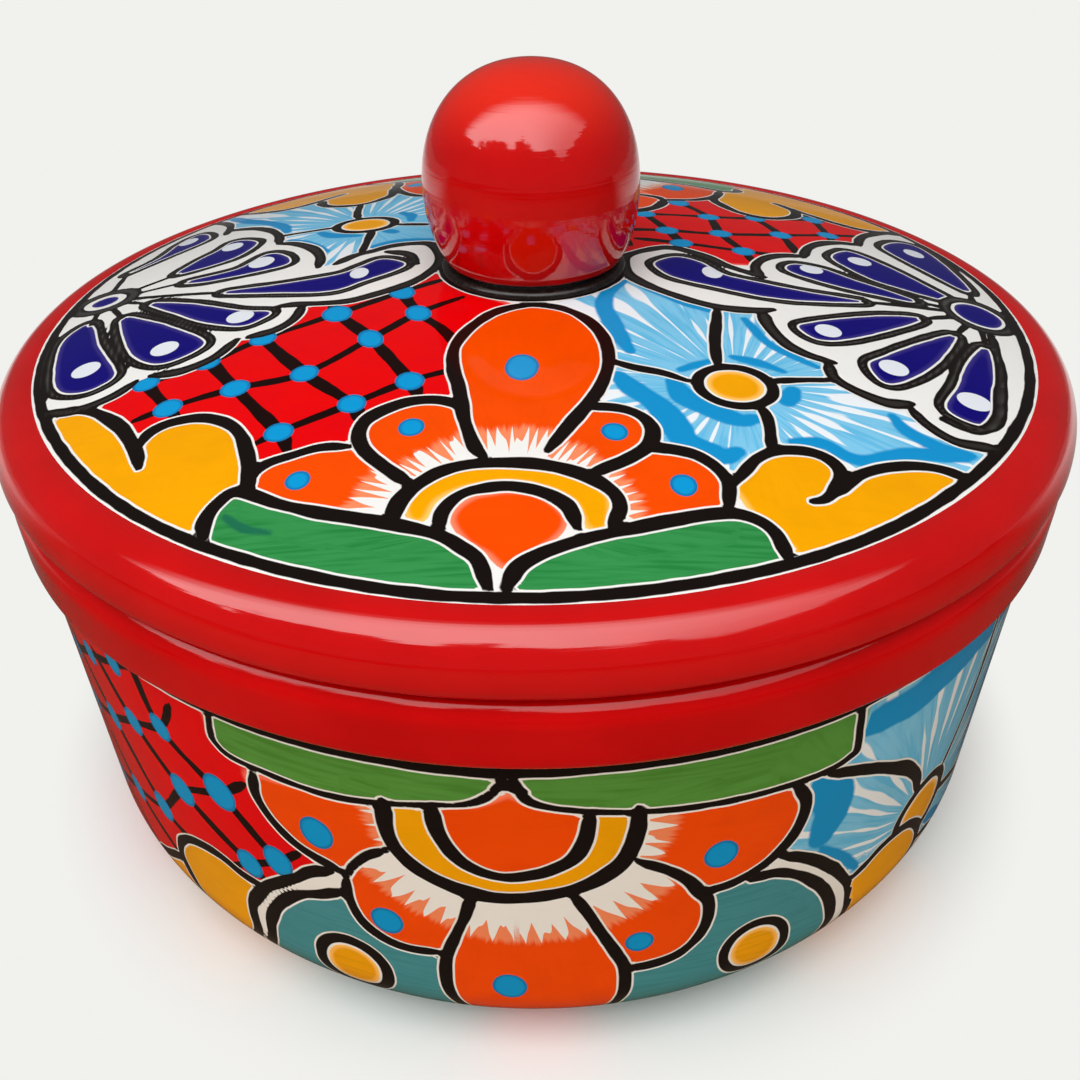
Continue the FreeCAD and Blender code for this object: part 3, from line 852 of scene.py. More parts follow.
def bowl_lane(place, middle, normal):
    """The wall as two long strips, front over back, and the white inside and underside as discs
    below them."""
    turn = np.degrees(np.arctan2(middle[:, 1], middle[:, 0]))
    own = np.degrees(np.arctan2(place[:, 1], place[:, 0]))
    own = turn + (own - turn + 180) % 360 - 180
    radius = np.hypot(place[:, 0], place[:, 1])
    mid_radius = np.hypot(middle[:, 0], middle[:, 1])
    height = place[:, 2]
    angle = np.degrees(np.arctan2(radius - turn_in, wall_foot - height))
    depth = np.where(height >= wall_foot - 0.001, WALL_TOP - height,
                     WALL_TOP - wall_foot + np.radians(90 - angle) * CORNER)
    scale = 0.98 / (180 * MM_PER_DEGREE)
    row = (turn >= 0).astype(float)
    along = 0.01 + (own + 180 * (1 - row)) * MM_PER_DEGREE * scale
    strip = np.stack([along, 0.99 - (depth + row * STRIP) * scale], 1)
    flat_under = (normal[:, 2] < -0.999) & (mid_radius < turn_in)
    inner_height = FLOOR_TOP + INSIDE_CORNER
    inner_angle = np.arctan2(radius - turn_in, inner_height - height)
    inner = np.where(height > inner_height, turn_in + math.pi / 2 * INSIDE_CORNER + height - inner_height,
                     np.where(radius > turn_in, turn_in + inner_angle * INSIDE_CORNER, radius))
    where = np.radians(own)
    low = disc((0.73, 0.22), 0.21 / 125, radius, where)
    within = disc((0.23, 0.22), 0.215 / 200, inner, where)
    inward = (normal[:, 0] * middle[:, 0] + normal[:, 1] * middle[:, 1] < -0.01) | (
        (normal[:, 2] > 0.5) & (height > 5))
    uv = np.where(flat_under[:, None], low, strip)
    return np.where(inward[:, None], within, uv)


map_rings(bowl, bowl_lane)
majolica = painted_glaze("painted_majolica_bowl", 2.0, 4.5, 9.0, 1.25)
finish_piece(bowl, majolica, "bowl", "painted_glaze", "bowl_body")

# ---- rim band ------------------------------------------------------------------------------
# A thick coil of clay laid round the mouth and smoothed with a wet finger, under a plain red
# glaze. Its level top is the lid's seat. The finger leaves it a little uneven.
BAND_RADIUS = 124.8
BAND_TOP = 108.2
MOUTH_RADIUS = 111.0
BAND_TOP_ROUND = 5.0
BAND_LOW_ROUND = 2.4
MOUTH_ROUND = 1.6
RED = "D80306"
DEEP_RED = "C10002"


def uneven(piece, depth, waves, keep=None):
    """Presses a piece in, never out, by up to depth mm in a few soft waves round it."""
    spots = corners_of(piece)
    turn = np.arctan2(spots[:, 1], spots[:, 0])
    dent = np.zeros(len(spots))
    for count, phase, rise in waves:
        dent += 0.5 - 0.5 * np.sin(count * turn + phase + rise * spots[:, 2])
    dent *= depth / len(waves)
    if keep is not None:
        dent[keep(spots)] = 0
    radius = np.maximum(np.hypot(spots[:, 0], spots[:, 1]), 0.001)
    share = np.where(radius > 1, (radius - dent) / radius, 1)
    spots[:, 0] *= share
    spots[:, 1] *= share
    piece.data.vertices.foreach_set("co", (spots * MM).ravel())
    piece.data.update()


def red_glaze(name, gloss_index):
    """A thick tomato-red gloss glaze over the marks of the wheel, deeper where it pools."""
    material, tree, shader = new_material(name)
    place = add(tree, "ShaderNodeTexCoord").outputs["Object"]
    level = add(tree, VECTOR, {0: place, 1: (1, 1, 0)}, **TIMES)
    radius = add(tree, VECTOR, {0: level}, operation="LENGTH").outputs["Value"]
    height = add(tree, SPLIT, {0: place}).outputs[2]
    drift = add(tree, VECTOR, {0: place, 1: (12, 12, 12)}, **TIMES)
    wheel = add(tree, "ShaderNodeCombineXYZ", {0: radius, 1: height})
    wheel = add(tree, VECTOR, {0: wheel, 1: (900, 900, 0)}, **TIMES)
    wheel = add(tree, VECTOR, {0: wheel, 1: drift})
    rings = add(tree, NOISE, {"Vector": wheel, "Scale": 1.0, "Detail": 2.0})
    pools = add(tree, NOISE, {"Vector": place, "Scale": 45.0, "Detail": 3.0})
    depth = add(tree, RAMP, {0: pools, 1: 0.3, 2: 0.7, 3: 0.35, 4: 1.0})
    tone = add(tree, MIX, {0: depth, 6: colour(DEEP_RED), 7: colour(RED)}, **RGBA)
    relief = add(tree, "ShaderNodeBump", {"Strength": 0.2, "Distance": 0.0002, "Height": rings})
    gloss = add(tree, RAMP, {0: pools, 1: 0.3, 2: 0.7, 3: 0.05, 4: 0.11})
    tree.links.new(tone.outputs[2], shader.inputs["Base Color"])
    tree.links.new(gloss.outputs[0], shader.inputs["Roughness"])
    tree.links.new(relief.outputs[0], shader.inputs["Normal"])
    shader.inputs["IOR"].default_value = gloss_index
    return material


low_turn = WALL_TOP + BAND_LOW_ROUND
top_turn = BAND_TOP - BAND_TOP_ROUND
wall_inside = WALL_RADIUS - WALL_THICKNESS
mouth_foot = WALL_TOP + wall_inside - MOUTH_RADIUS
band = lathe(
    "rim_band",
    run((wall_inside, WALL_TOP), (BAND_RADIUS - BAND_LOW_ROUND, WALL_TOP), 3)
    + arc((BAND_RADIUS - BAND_LOW_ROUND, low_turn), BAND_LOW_ROUND, -90, 0, 6)
    + run((BAND_RADIUS, low_turn), (BAND_RADIUS, top_turn), 5)
    + arc((BAND_RADIUS - BAND_TOP_ROUND, top_turn), BAND_TOP_ROUND, 0, 90, 10)
    + run((BAND_RADIUS - BAND_TOP_ROUND, BAND_TOP), (MOUTH_RADIUS + MOUTH_ROUND, BAND_TOP), 4)
    + arc((MOUTH_RADIUS + MOUTH_ROUND, BAND_TOP - MOUTH_ROUND), MOUTH_ROUND, 90, 180, 5)
    + run((MOUTH_RADIUS, BAND_TOP - MOUTH_ROUND), (MOUTH_RADIUS, mouth_foot), 4)
    + run((MOUTH_RADIUS, mouth_foot), (wall_inside, WALL_TOP), 2),
    360,
)
uneven(band, 0.5, ((2, 0.4, 0.02), (5, 1.9, 0.05), (9, 0.7, -0.04)),
       keep=lambda spots: np.hypot(spots[:, 0], spots[:, 1]) < 118)
finish_piece(band, red_glaze("red_majolica_band", 1.42), "bowl", "red_glaze", "bowl_rim_band")

# ---- lid -----------------------------------------------------------------------------------
# A shallow domed disc, thrown on a hump, that a thick rolled edge holds. Its top is painted in the
# same way as the wall; its underside has only white glaze.
DISC_RADIUS = 115.0
DISC_EDGE = 121.7
CROWN = 133.0
PAD_RADIUS = 21.9
DOME_THICKNESS = 7.0
LAND = 115.7
LAND_RADIUS = 100.0
VENT_RADIUS = 2.5
LID_STEPS = 720
EDGE_RING = 113.4       # radii of the two lines turned on the wheel
COLLAR_RING = 21.7


def cap(start, end, count):
    """Points along a ball's arc that starts level at start and falls to end."""
    across, drop = end[0] - start[0], start[1] - end[1]
    ball = (across * across + drop * drop) / (2 * drop)
    whole = math.asin(across / ball)
    turns = [whole * i / count for i in range(count + 1)]
    return [(start[0] + ball * math.sin(t), start[1] - ball * (1 - math.cos(t))) for t in turns]


under_crown = CROWN - DOME_THICKNESS
lid = lathe(
    "painted_lid",
    run((VENT_RADIUS, CROWN), (PAD_RADIUS, CROWN), 6)
    + cap((PAD_RADIUS, CROWN), (DISC_RADIUS, DISC_EDGE), 106)
    + run((DISC_RADIUS, DISC_EDGE), (DISC_RADIUS, LAND), 2)
    + run((DISC_RADIUS, LAND), (LAND_RADIUS, LAND), 3)
    + cap((VENT_RADIUS, under_crown), (LAND_RADIUS, LAND), 10)[::-1]
    + run((VENT_RADIUS, under_crown), (VENT_RADIUS, CROWN), 2),
    LID_STEPS,
)
spots = corners_of(lid)
spread = np.hypot(spots[:, 0], spots[:, 1])
on_top = (spots[:, 2] > DISC_EDGE - 0.01) & ((spread >= 70) | (spots[:, 2] >= under_crown + 0.2))
lid_x = np.where(on_top, spots[:, 0], 900.0)
lid_y = np.where(on_top, spots[:, 1], 900.0)


lid_art = Painting(lid, lambda turn: (lid_x, lid_y))


def lid_flower(art):
    """Half an orange daisy that grows from two green leaves at the edge."""
    heart = (-4.6, -98)
    art.shape([(-34, -76.3), (-39.5, -76), (-44.6, -77.6), (-49, -79.4), (-51.3, -82.4), (-51.9, -86.4)],
        ORANGE, 2.4, [(-45.3, -91), (-38, -94), (-30.7, -96.2), (-22, -97), (-20, -88), (-27, -82.7),
        (-31, -78.3)], heart, 28.5)
    art.shape([(-14.2, -66), (-16.7, -64), (-20.4, -63.1), (-24.8, -63.7), (-29.2, -66), (-32.3, -69.5),
        (-32.7, -74), (-30.7, -78.3), (-27, -82.7), (-22.4, -87.2)], ORANGE, 3.0, [(-17, -84), (-8, -80),
        (-10, -73)], heart, 25)
    art.shape([(20.3, -79), (24.3, -79), (28.7, -80.5), (32, -83.8), (33.5, -87.5), (33.1, -91.5),
        (32.7, -94.4)], ORANGE, 2.8, [(24.3, -98), (17, -99), (11, -99), (11, -90), (16.2, -82)], heart,
        23)
    art.shape([(9.6, -66.6), (14, -66.6), (18.1, -68), (20.6, -70.6), (21.5, -74), (20.3, -78.3),
        (16.2, -82), (12.2, -84.5), (8.9, -86.4)], ORANGE, 2.8, [(0, -82), (2, -74)], heart, 23)
    art.shape([(-9.6, -80.8), (-11.2, -78), (-13.3, -70), (-14.7, -60), (-16.2, -52.7), (-16.6, -45.3),
        (-15.1, -38.7), (-12.3, -33), (-8.3, -27.7), (-2.8, -24.7), (1.2, -24.4), (6.3, -26.6),
        (10.7, -31.4), (13.7, -38), (14.9, -45.3), (14.4, -52.7), (12.5, -60), (10.1, -65.3),
        (5.3, -73.9), (2.1, -79.7)], ORANGE, 2.8, [(-3.6, -82)], heart, 25)
    art.flood([(-22.6, -95), (-22.3, -91), (-19, -86.6), (-14.8, -84.4), (-10, -83.4), (-2.7, -83.4),
        (3.8, -85), (8.8, -87.6), (12.3, -91.2), (12.8, -95), (11.6, -99.5), (8.2, -99.5), (6.2, -93.6),
        (2.5, -90.4), (-2.7, -88.4), (-8, -88.4), (-13.3, -89.6), (-17, -92.5), (-18.5, -96.3),
        (-20.6, -97.4)], YELLOW)
    art.flood([(-14.6, -97.3), (-13.6, -93.6), (-10, -90.8), (-3.7, -90), (1.4, -91.6), (4.8, -95.7),
        (4.8, -98.9), (2.7, -102.1), (-1.6, -105.9), (-5.3, -108), (-8.5, -104.8), (-12.3, -101.6)],
        ORANGE)
    art.brush([(-24.8, -96.8), (-23.5, -91.5), (-20.3, -87.2), (-15.5, -84), (-10.1, -82.9),
        (-2.7, -82.9), (4.3, -84.5), (9.6, -87.2), (13.3, -90.9), (14.1, -94.7), (12.5, -98.4)], 3.0)
    art.brush([(-16.5, -99.5), (-16, -94.7), (-13.3, -90.9), (-9.1, -89.3), (-3.7, -89.1), (1.6, -90.9),
        (5.3, -94.1), (6.7, -99.2)], 2.6)
    art.shape([(-56.5, -96.5), (-57.4, -93), (-56, -88.6), (-52.7, -86), (-45.3, -90), (-38, -93),
        (-30.7, -95.2), (-23.3, -97.4), (-16.7, -99.9), (-12.8, -102.7), (-9.6, -105.9), (-8, -111.2)],
        GREEN, 2.8, [(-12, -114), (-20, -114), (-35, -110), (-50, -103)])
    art.shape([(-5.1, -111.7), (-3.2, -107.5), (0.5, -104.8), (6.4, -102.1), (15, -99.4), (24, -96.8),
        (30.9, -95.2), (34.7, -95.2), (37.9, -96.8), (40, -99.5), (41.2, -105)], GREEN, 2.8, [(25, -112),
        (10, -114), (0, -115)])
    art.brush([(-54, -92), (-50, -95.5), (-45, -97)], 1.8, "deep", point=5)
    for x, y, wide, tall in ((-2.6, -52.4, 3.4, 5), (-23.1, -71.7, 2.5, 2.7),
                             (-42.3, -84.7, 2.3, 2.5), (14.4, -74.3, 2.5, 2.7),
                             (25.6, -88.6, 2.4, 2.8)):
        art.dab(x, y, wide, tall)


def lid_heart_left(art):
    """A yellow heart between the red net and the leaf."""
    left = [(-97, -51.6), (-93.6, -52.5), (-89.3, -54.4), (-85.6, -57.4), (-81.3, -61.7), (-78, -66.6),
        (-75.2, -71.5), (-73.5, -76)]
    right = [(-75.2, -68.5), (-74.3, -65.4), (-71.5, -63.3), (-67.2, -62.5), (-62.9, -63.3), (-58.6, -66),
        (-55.6, -69.7), (-53.7, -74), (-52.2, -79), (-51.3, -83.8), (-50.7, -86.6)]
    art.flood([*left[:7], *right[1:], (-55, -90), (-57, -100), (-72, -91), (-86, -78), (-98, -62)],
        YELLOW)
    art.brush(left, 2.8)
    art.brush(right, 2.8)


def lid_heart_right(art):
    """A yellow heart between the blue flower and the leaf."""
    left = [(34.1, -87.9), (36.5, -84.9), (39.7, -80.7), (43.5, -78.3), (47.7, -77.7), (51.5, -78.5),
        (54.1, -81.2), (54.4, -84.4), (52.5, -87.6), (50.1, -90.3), (47.7, -91.1)]
    right = [(51.5, -89.2), (56.3, -84.4), (60.5, -81.7), (65.3, -79.9), (70.1, -79), (74.4, -79.3),
        (79, -80.9)]
    art.flood([*left[:7], *right[1:], (84, -84), (70, -94), (50, -106), (42.4, -108), (35.4, -92.4)],
        YELLOW)
    art.brush(left, 2.7, point=6)
    art.brush(right, 2.6)


def lid_net_front(art):
    """The red field at the front left, crossed by a black net."""
    art.flood([(-21, -4), (-14, -16), (-2, -26), (-4, -66), (-14, -75), (-28, -80), (-48, -88),
        (-60, -80), (-80, -72), (-100, -51), (-96, -46), (-80, -36), (-60, -22), (-40, -8)], CELL_RED,
        rounded=False)
    for points, width in (
        ([(-80.1, -45), (-80.1, -47), (-72.7, -57.7), (-69.5, -62)], 2.7),
        ([(-68.4, -41), (-59.9, -53.7), (-48.2, -70.3), (-45.6, -76)], 2.8),
        ([(-59, -32), (-58, -34.4), (-46.4, -50.7), (-35.3, -63), (-33.6, -68)], 2.9),
        ([(-45, -19.5), (-43.3, -25.5), (-34.4, -38.4), (-24.6, -56.2), (-22.5, -62)], 2.9),
        ([(-31, -12.5), (-30, -15.7), (-25.3, -27.3), (-20, -34.7), (-15.8, -43)], 2.7),
        ([(-84, -47), (-80, -47), (-68.4, -42), (-58, -34.4), (-43.3, -25.5), (-30, -15.7),
          (-21, -9)], 2.3),
        ([(-79, -60.5), (-72.7, -57.7), (-60, -53.7), (-46.4, -50.7), (-34.4, -38.4),
          (-25.3, -27.3), (-16, -19.5)], 2.3),
        ([(-52.5, -73.5), (-48.2, -70.3), (-35.3, -63), (-24.6, -56.2), (-16, -52.5)], 2.2),
    ):
        art.brush(points, width, "net")
    for x, y, wide, tall in (
        (-80.1, -47, 2.9, 2.9), (-68.4, -42.1, 2.9, 2.9), (-58, -34.4, 3, 3), (-72.7, -57.7, 3.1, 3.1),
        (-59.9, -53.7, 3.1, 3.2), (-46.4, -50.7, 3, 3.2), (-48.2, -70.3, 2.9, 3), (-35.3, -62.9, 2.9, 3.1),
        (-24.6, -56.2, 2.9, 3.4), (-43.3, -25.5, 3.3, 4.2), (-34.4, -38.4, 2.7, 4.2),
        (-25.3, -27.3, 2.8, 4.2), (-30, -15.7, 3, 4),
    ):
        art.dab(x, y, wide, tall, slant=20)


def lid_blue_front(art):
    """The sky-blue flower at the front right."""
    art.flood([(21, -4), (14, -16), (2, -26), (4, -60), (0, -72), (12, -80), (25, -86), (34, -90),
        (50, -84), (60, -84), (74, -82), (79, -81), (85.5, -75), (90, -71), (80, -62), (62, -40),
        (52, -18), (34, -4)], SKY, (39.1, -58.2, 172), rounded=False)
    for points, width in (
        ([(21.3, -7.5), (18.8, -13.2), (16.3, -18.9), (15.3, -25.9), (16.3, -32.2), (17.5, -39.2),
          (19.4, -46.2)], 4.0),
        ([(23.2, -12), (27.7, -17.7), (32.7, -22.7), (38.4, -27.2)], 2.7),
        ([(28.9, -53.1), (35.3, -49.3)], 3.0),
        ([(45.4, -30.3), (48.6, -40.5), (53, -45.5), (57.4, -49.3)], 2.5),
        ([(40.3, -47.4), (45.4, -49.3), (49.8, -51.9)], 3.0),
        ([(16.3, -55.7), (18.8, -60.1), (23.2, -65.8), (25.8, -72.1), (27.7, -77.2),
          (33.4, -80.4), (36.5, -79.1)], 5.5),
        ([(27, -57.6), (28.9, -63.3), (33.4, -67.1), (38.4, -69.6), (41, -69)], 5.0),
        ([(50.5, -58.8), (48.6, -62.6)], 5.0),
        ([(68.8, -64.5), (70.7, -69), (75.8, -72.8), (81.5, -74)], 3.5),
        ([(47.3, -75.3), (53, -75.3), (56.8, -78.5), (61.2, -79.1), (68.8, -75.9),
          (75.8, -75.3), (80.2, -75.3)], 3.5),
    ):
        art.brush(points, width, "deep", point=5)
    art.brush([(36.6, -51.2), (37.5, -41), (39.3, -31), (40.2, -25.5)], 2.4)
    art.brush([(29.9, -57.2), (25.3, -54.5), (20, -52.7), (15.8, -50.5)], 2.5, point=6)
    art.brush([(46.4, -55.8), (53, -54.6), (60, -53.6)], 2.1)
    art.brush([(42.4, -64), (43.7, -68.4), (42.9, -78)], 2.4)
    art.eye(39.1, -58.2, 5.6, 5.2, 2.4, gap=0.5)


def paint_fan(art, above, below, drops, eye, stray=()):
    """A fan: the white field that its scallops bound, the scallops, its drops and its eye. Both
    runs of scallops start at the lid's edge, and below the fan's edge is closed along the rim."""
    border = sum((points[::-1] for points, width in above), [])
    border += sum((points for points, width in below), [])
    side = 1 if eye[0] > 0 else -1
    art.flood([*border, (side * 99, -62), (side * 116, -30), (side * 120, 0), (side * 114, 36)], WHITE,
        rounded=False)
    for points, width in (*above, *below, *stray):
        art.brush(points, width, wash=0.3)
    for outline, pearl in drops:
        art.drop(outline, pearl, eye[:2])
    art.eye(*eye)


def lid_fan_right(art):
    """The cobalt fan on the right, seven drops round an eye at the edge."""
    above = [
        ([(53.3, -7), (53, -0.7), (56, 5.3), (60.7, 8.7), (66.7, 10)], 2.9),
        ([(66.7, 9), (69.3, 16), (73.3, 21.3), (78.7, 24.7), (85.3, 26)], 2.9),
        ([(85.3, 25.3), (86.7, 30.7), (90, 36.7), (95.3, 42.7), (101, 48)], 2.8),
    ]
    below = [
        ([(54, -6.7), (46.7, -1.3), (42, 4.7), (35.3, 10), (30, 9.7), (22.7, 4.7), (21.5, -2),
          (22.7, -8.7), (27.3, -15.3), (33.3, -20.7), (40.7, -25), (48.7, -25.7), (52.7, -24.7)], 3.0),
        ([(50, -26), (50.3, -33.3), (52.7, -40.7), (56.7, -44.7), (61.3, -46.7)], 3.0),
        ([(60, -47.3), (60, -52.7), (64, -57.3), (69.3, -60), (74, -59.3)], 3.0),
        ([(73.3, -60.7), (75.3, -66), (79.3, -70), (84, -70.7), (88.5, -70.5)], 2.8),
    ]
    drops = (
        ([(29.3, 0.3), (34.7, 4), (40, 0.7), (44.7, -6.7), (53.3, -10.7), (63.3, -14),
          (75.3, -16), (61.3, -18.7), (52, -18), (42, -14), (33.3, -9.3), (30, -4.7)],
         (42, -5.3, 2.4, 3.6)),
        ([(61, -1.3), (63.3, 3.3), (70, 2), (76.7, -3.3), (89.3, -11.3), (80, -10.7),
          (69.3, -7.3)], (67, 1, 2.8)),
        ([(74.7, 11.3), (78, 16.7), (81.3, 18), (86.7, 12.7), (93.3, 3.3), (99.3, -7.3),
          (84, -2.7), (77.3, 4.7)], (81.6, 11.2, 3)),
        ([(92.7, 28), (96.7, 34), (102, 36.7), (105.3, 33.3), (107.3, 20), (107, 2),
          (98.7, 12.7), (93.3, 23.3)], (100.7, 27, 2.7, 3.4)),
        ([(57, -32.7), (60, -30), (70.7, -25.3), (80, -22), (87.3, -21.3), (76.7, -30),
          (66.7, -36), (60, -37.3)], (63.2, -33, 2.9)),
        ([(69, -46), (73.3, -42), (83.3, -34), (93.3, -27.3), (86.7, -38.7), (80, -46.7),
          (73.3, -52), (70, -52)], (74, -46.3, 3.1)),
        ([(81.3, -59.3), (86.7, -50), (92, -40), (99.3, -30.7), (96.7, -43.3), (93.3, -53.3),
          (90, -60.7), (86, -63.3)], (88.3, -55.3, 3.6, 3.2)),
    )
    stray = [([(103, -24), (99.2, -40.5), (94.8, -51.9), (91, -60.7), (85.3, -65.8), (79, -63.3)], 2.6)]
    paint_fan(art, above[::-1], below, drops, (103.7, -13.2, 5.5, 6, 2.9, COBALT, 0.8), stray)


def lid_fan_left(art):
    """The cobalt fan on the left."""
    above = [
        ([(-66, 24.7), (-61.3, 22.7), (-56, 17.3), (-52.7, 10), (-52, 2.7)][::-1], 2.9),
        ([(-66, 25.3), (-68, 33.3), (-72, 40), (-77.3, 44.7), (-84.7, 48)], 2.9),
        ([(-84.7, 43.3), (-86, 53.3), (-89.3, 60), (-94, 65)], 2.7),
    ]
    below = [
        ([(-48, 4), (-44, 9), (-40, 11.3), (-34.7, 14.7), (-26.7, 15.3), (-23.3, 9.3), (-23, 0),
          (-28, -10), (-36.7, -16.7), (-43.3, -19.3), (-53.3, -18.7), (-57.3, -18.7)], 2.9),
        ([(-52, -19.3), (-52.7, -26), (-56, -30.7), (-61.3, -32.7)], 2.8),
        ([(-64, -33.3), (-67.3, -40), (-73.3, -44), (-80, -44)], 2.8),
        ([(-82.7, -45.3), (-86.7, -50), (-93.3, -52.7), (-101, -51.3)], 2.8),
    ]
    drops = (
        ([(-73.3, -6.7), (-60, -10.7), (-46.7, -12.7), (-40, -8), (-32.7, -2), (-31.3, 2),
          (-36.7, 5.3), (-41.3, 1.3), (-46.7, -3.3), (-60, -6)], (-41.3, -3, 2.2, 3.3)),
        ([(-85.3, 4.7), (-73.3, 8), (-67.3, 16.7), (-62, 13.3), (-60.7, 7.3), (-69.3, 4),
          (-80, 2.7)], (-67.7, 11, 3.2, 3.8)),
        ([(-89.3, 12), (-86.7, 20), (-82.7, 26.7), (-80, 33.3), (-74.5, 31), (-72.7, 26.7),
          (-76.7, 17.3)], (-79.2, 28.2, 2.8, 3.4)),
        ([(-106, 22), (-100, 31.3), (-98, 43), (-94.5, 50.5), (-90, 44.7), (-91.3, 38)],
         (-95.6, 43.6, 2.6, 3.6)),
        ([(-91.3, -6), (-80, -10.7), (-66.7, -18.7), (-59.3, -21.3), (-60.7, -24.7),
          (-64.7, -26.7), (-73.3, -22.7), (-82.7, -14.7)], (-65.7, -22, 3.1)),
        ([(-96, -12), (-86.7, -18), (-77.3, -26), (-71.3, -32.7), (-74, -37.3), (-79.3, -39.3),
          (-85.3, -35.3), (-90.7, -26.7)], (-80.1, -32.7, 3.1)),
        ([(-107, -13.1), (-103.9, -11.9), (-98.3, -23.8), (-93.3, -32.5), (-88.9, -40.6),
          (-90.8, -44.4), (-95.1, -45.6), (-100.8, -42.5), (-105.1, -32.5), (-108.3, -19.4)],
         (-96.8, -36, 3.2)),
    )
    stray = [([(-36, 10.4), (-30.7, 8), (-28, 1.3)], 3.0)]
    paint_fan(art, above[::-1], below, drops, (-105.1, 1.9, 3.3, 2.8, 3.5, COBALT, 1.8), stray)


def lid_net_back(art):
    """The red field at the back right."""
    art.flood([(21, 8), (12, 20), (-2, 24), (-2, 104), (40, 108), (68, 92), (60, 52), (74, 57), (84, 52),
        (98, 46), (97, 36), (80, 18), (56, 0), (40, 0), (24, 0)], CELL_RED, rounded=False)
    for points, width in (
        ([(12, 50), (16, 37), (21, 24), (24, 12)], 2.5),
        ([(27, 47), (30, 38), (34.5, 24), (37, 14), (38, 8)], 2.5),
        ([(39.5, 54.5), (41, 52), (47.3, 38), (48.2, 23), (52, 10), (53, 3)], 2.5),
        ([(57, 44), (60.3, 40), (64.5, 25.8), (66, 10)], 2.5),
        ([(77, 52), (77.7, 46.4), (78.3, 31), (78, 23)], 2.4),
        ([(4, 35), (16, 37), (30, 38), (47, 38), (60.5, 40), (77.7, 46), (82, 48)], 2.2),
        ([(10, 24), (21, 24), (34.4, 23.7), (48, 22.5), (64.5, 25.8), (78, 31), (88, 35)], 2.2),
        ([(26, 17), (37, 14), (52, 10), (60, 9)], 2.2),
    ):
        art.brush(points, width, "net")
    for x, y, tall in (
        (16, 37, 3), (21, 24, 3), (30, 38, 3), (47.3, 37.8, 3), (60.5, 40.2, 3.2), (40.9, 51.9, 4),
        (77.7, 46.4, 3.6), (78.3, 31, 3), (64.5, 25.8, 3), (48.2, 23, 3), (34.4, 23.7, 3), (37, 14, 3),
        (52, 10, 3),
    ):
        art.dab(x, y, 3.0, tall)


def lid_flower_back(art):
    """The daisy at the back, broader than the one at the front and a little askew."""
    heart = (4, 98)
    art.flood([(50, 82), (44, 62), (36, 56), (14, 60), (-12, 60), (-28, 64), (-38, 76), (-38, 94),
        (0, 104)], WHITE)
    art.shape([(56, 74), (54, 66), (50.3, 60.5), (46, 57), (41, 55.5), (36.5, 54.5)], ORANGE, 2.6,
        [(31, 62), (26, 74), (24, 88), (40, 86)], heart, 42)
    art.shape([(37, 54), (36, 50), (33.5, 45), (29, 41.5), (22.5, 40), (16.5, 42), (13, 48), (12, 56)],
        ORANGE, 3.0, [(13, 70), (20, 78), (28, 70)], heart, 40)
    art.brush([(36.8, 54), (35.5, 57.5), (31, 60), (24, 61), (20, 64)], 2.6)
    art.shape([(-41, 91), (-42, 84), (-40.5, 76), (-37.5, 68.5), (-33, 63.2), (-27, 62)], ORANGE, 2.6,
        [(-20, 74), (-16, 90), (-30, 94)], heart, 34)
    art.shape([(-28, 66), (-29.5, 59), (-27, 53), (-22, 50), (-17, 51), (-13, 55), (-11, 62)], ORANGE,
        2.8, [(-10, 76), (-20, 78)], heart, 34)
    art.shape([(9, 76), (12, 64), (13.5, 52), (12.5, 42), (9, 32), (3, 26), (-4, 26), (-9.5, 32),
        (-13, 42), (-14, 52), (-12.5, 64), (-9, 76)], ORANGE, 2.8, [(0, 84)], heart, 32)
    art.flood([*arc(heart, 19, 180, 360, 8), *arc(heart, 13, 360, 180, 8)], YELLOW)
    art.flood([*arc(heart, 11, 180, 360, 6), (10, 104), (4, 109), (-3, 104)], ORANGE)
    art.brush(arc(heart, 19.5, 180, 360, 8), 3.0)
    art.brush(arc(heart, 12.2, 180, 360, 8), 2.6)
    art.shape([(63, 84), (62, 78), (57, 76), (48, 82), (38, 87), (28, 93), (16, 100), (7, 106), (4, 112)],
        GREEN, 2.8, [(20, 113), (40, 106), (54, 98), (62, 93)])
    art.shape([(-53, 102), (-52, 97.5), (-46, 95.5), (-38.9, 94.5), (-28, 95), (-16, 98), (-5, 103),
        (3, 110)], GREEN, 2.8, [(0, 114), (-20, 112), (-40, 106)])
    for x, y, wide, tall in ((41.9, 74.3, 3.2, 5.4), (25, 51, 3, 4), (0, 44, 3.4, 5),
                             (-21, 59, 2.6, 3.4), (-35.4, 83, 3, 4)):
        art.dab(x, y, wide, tall)


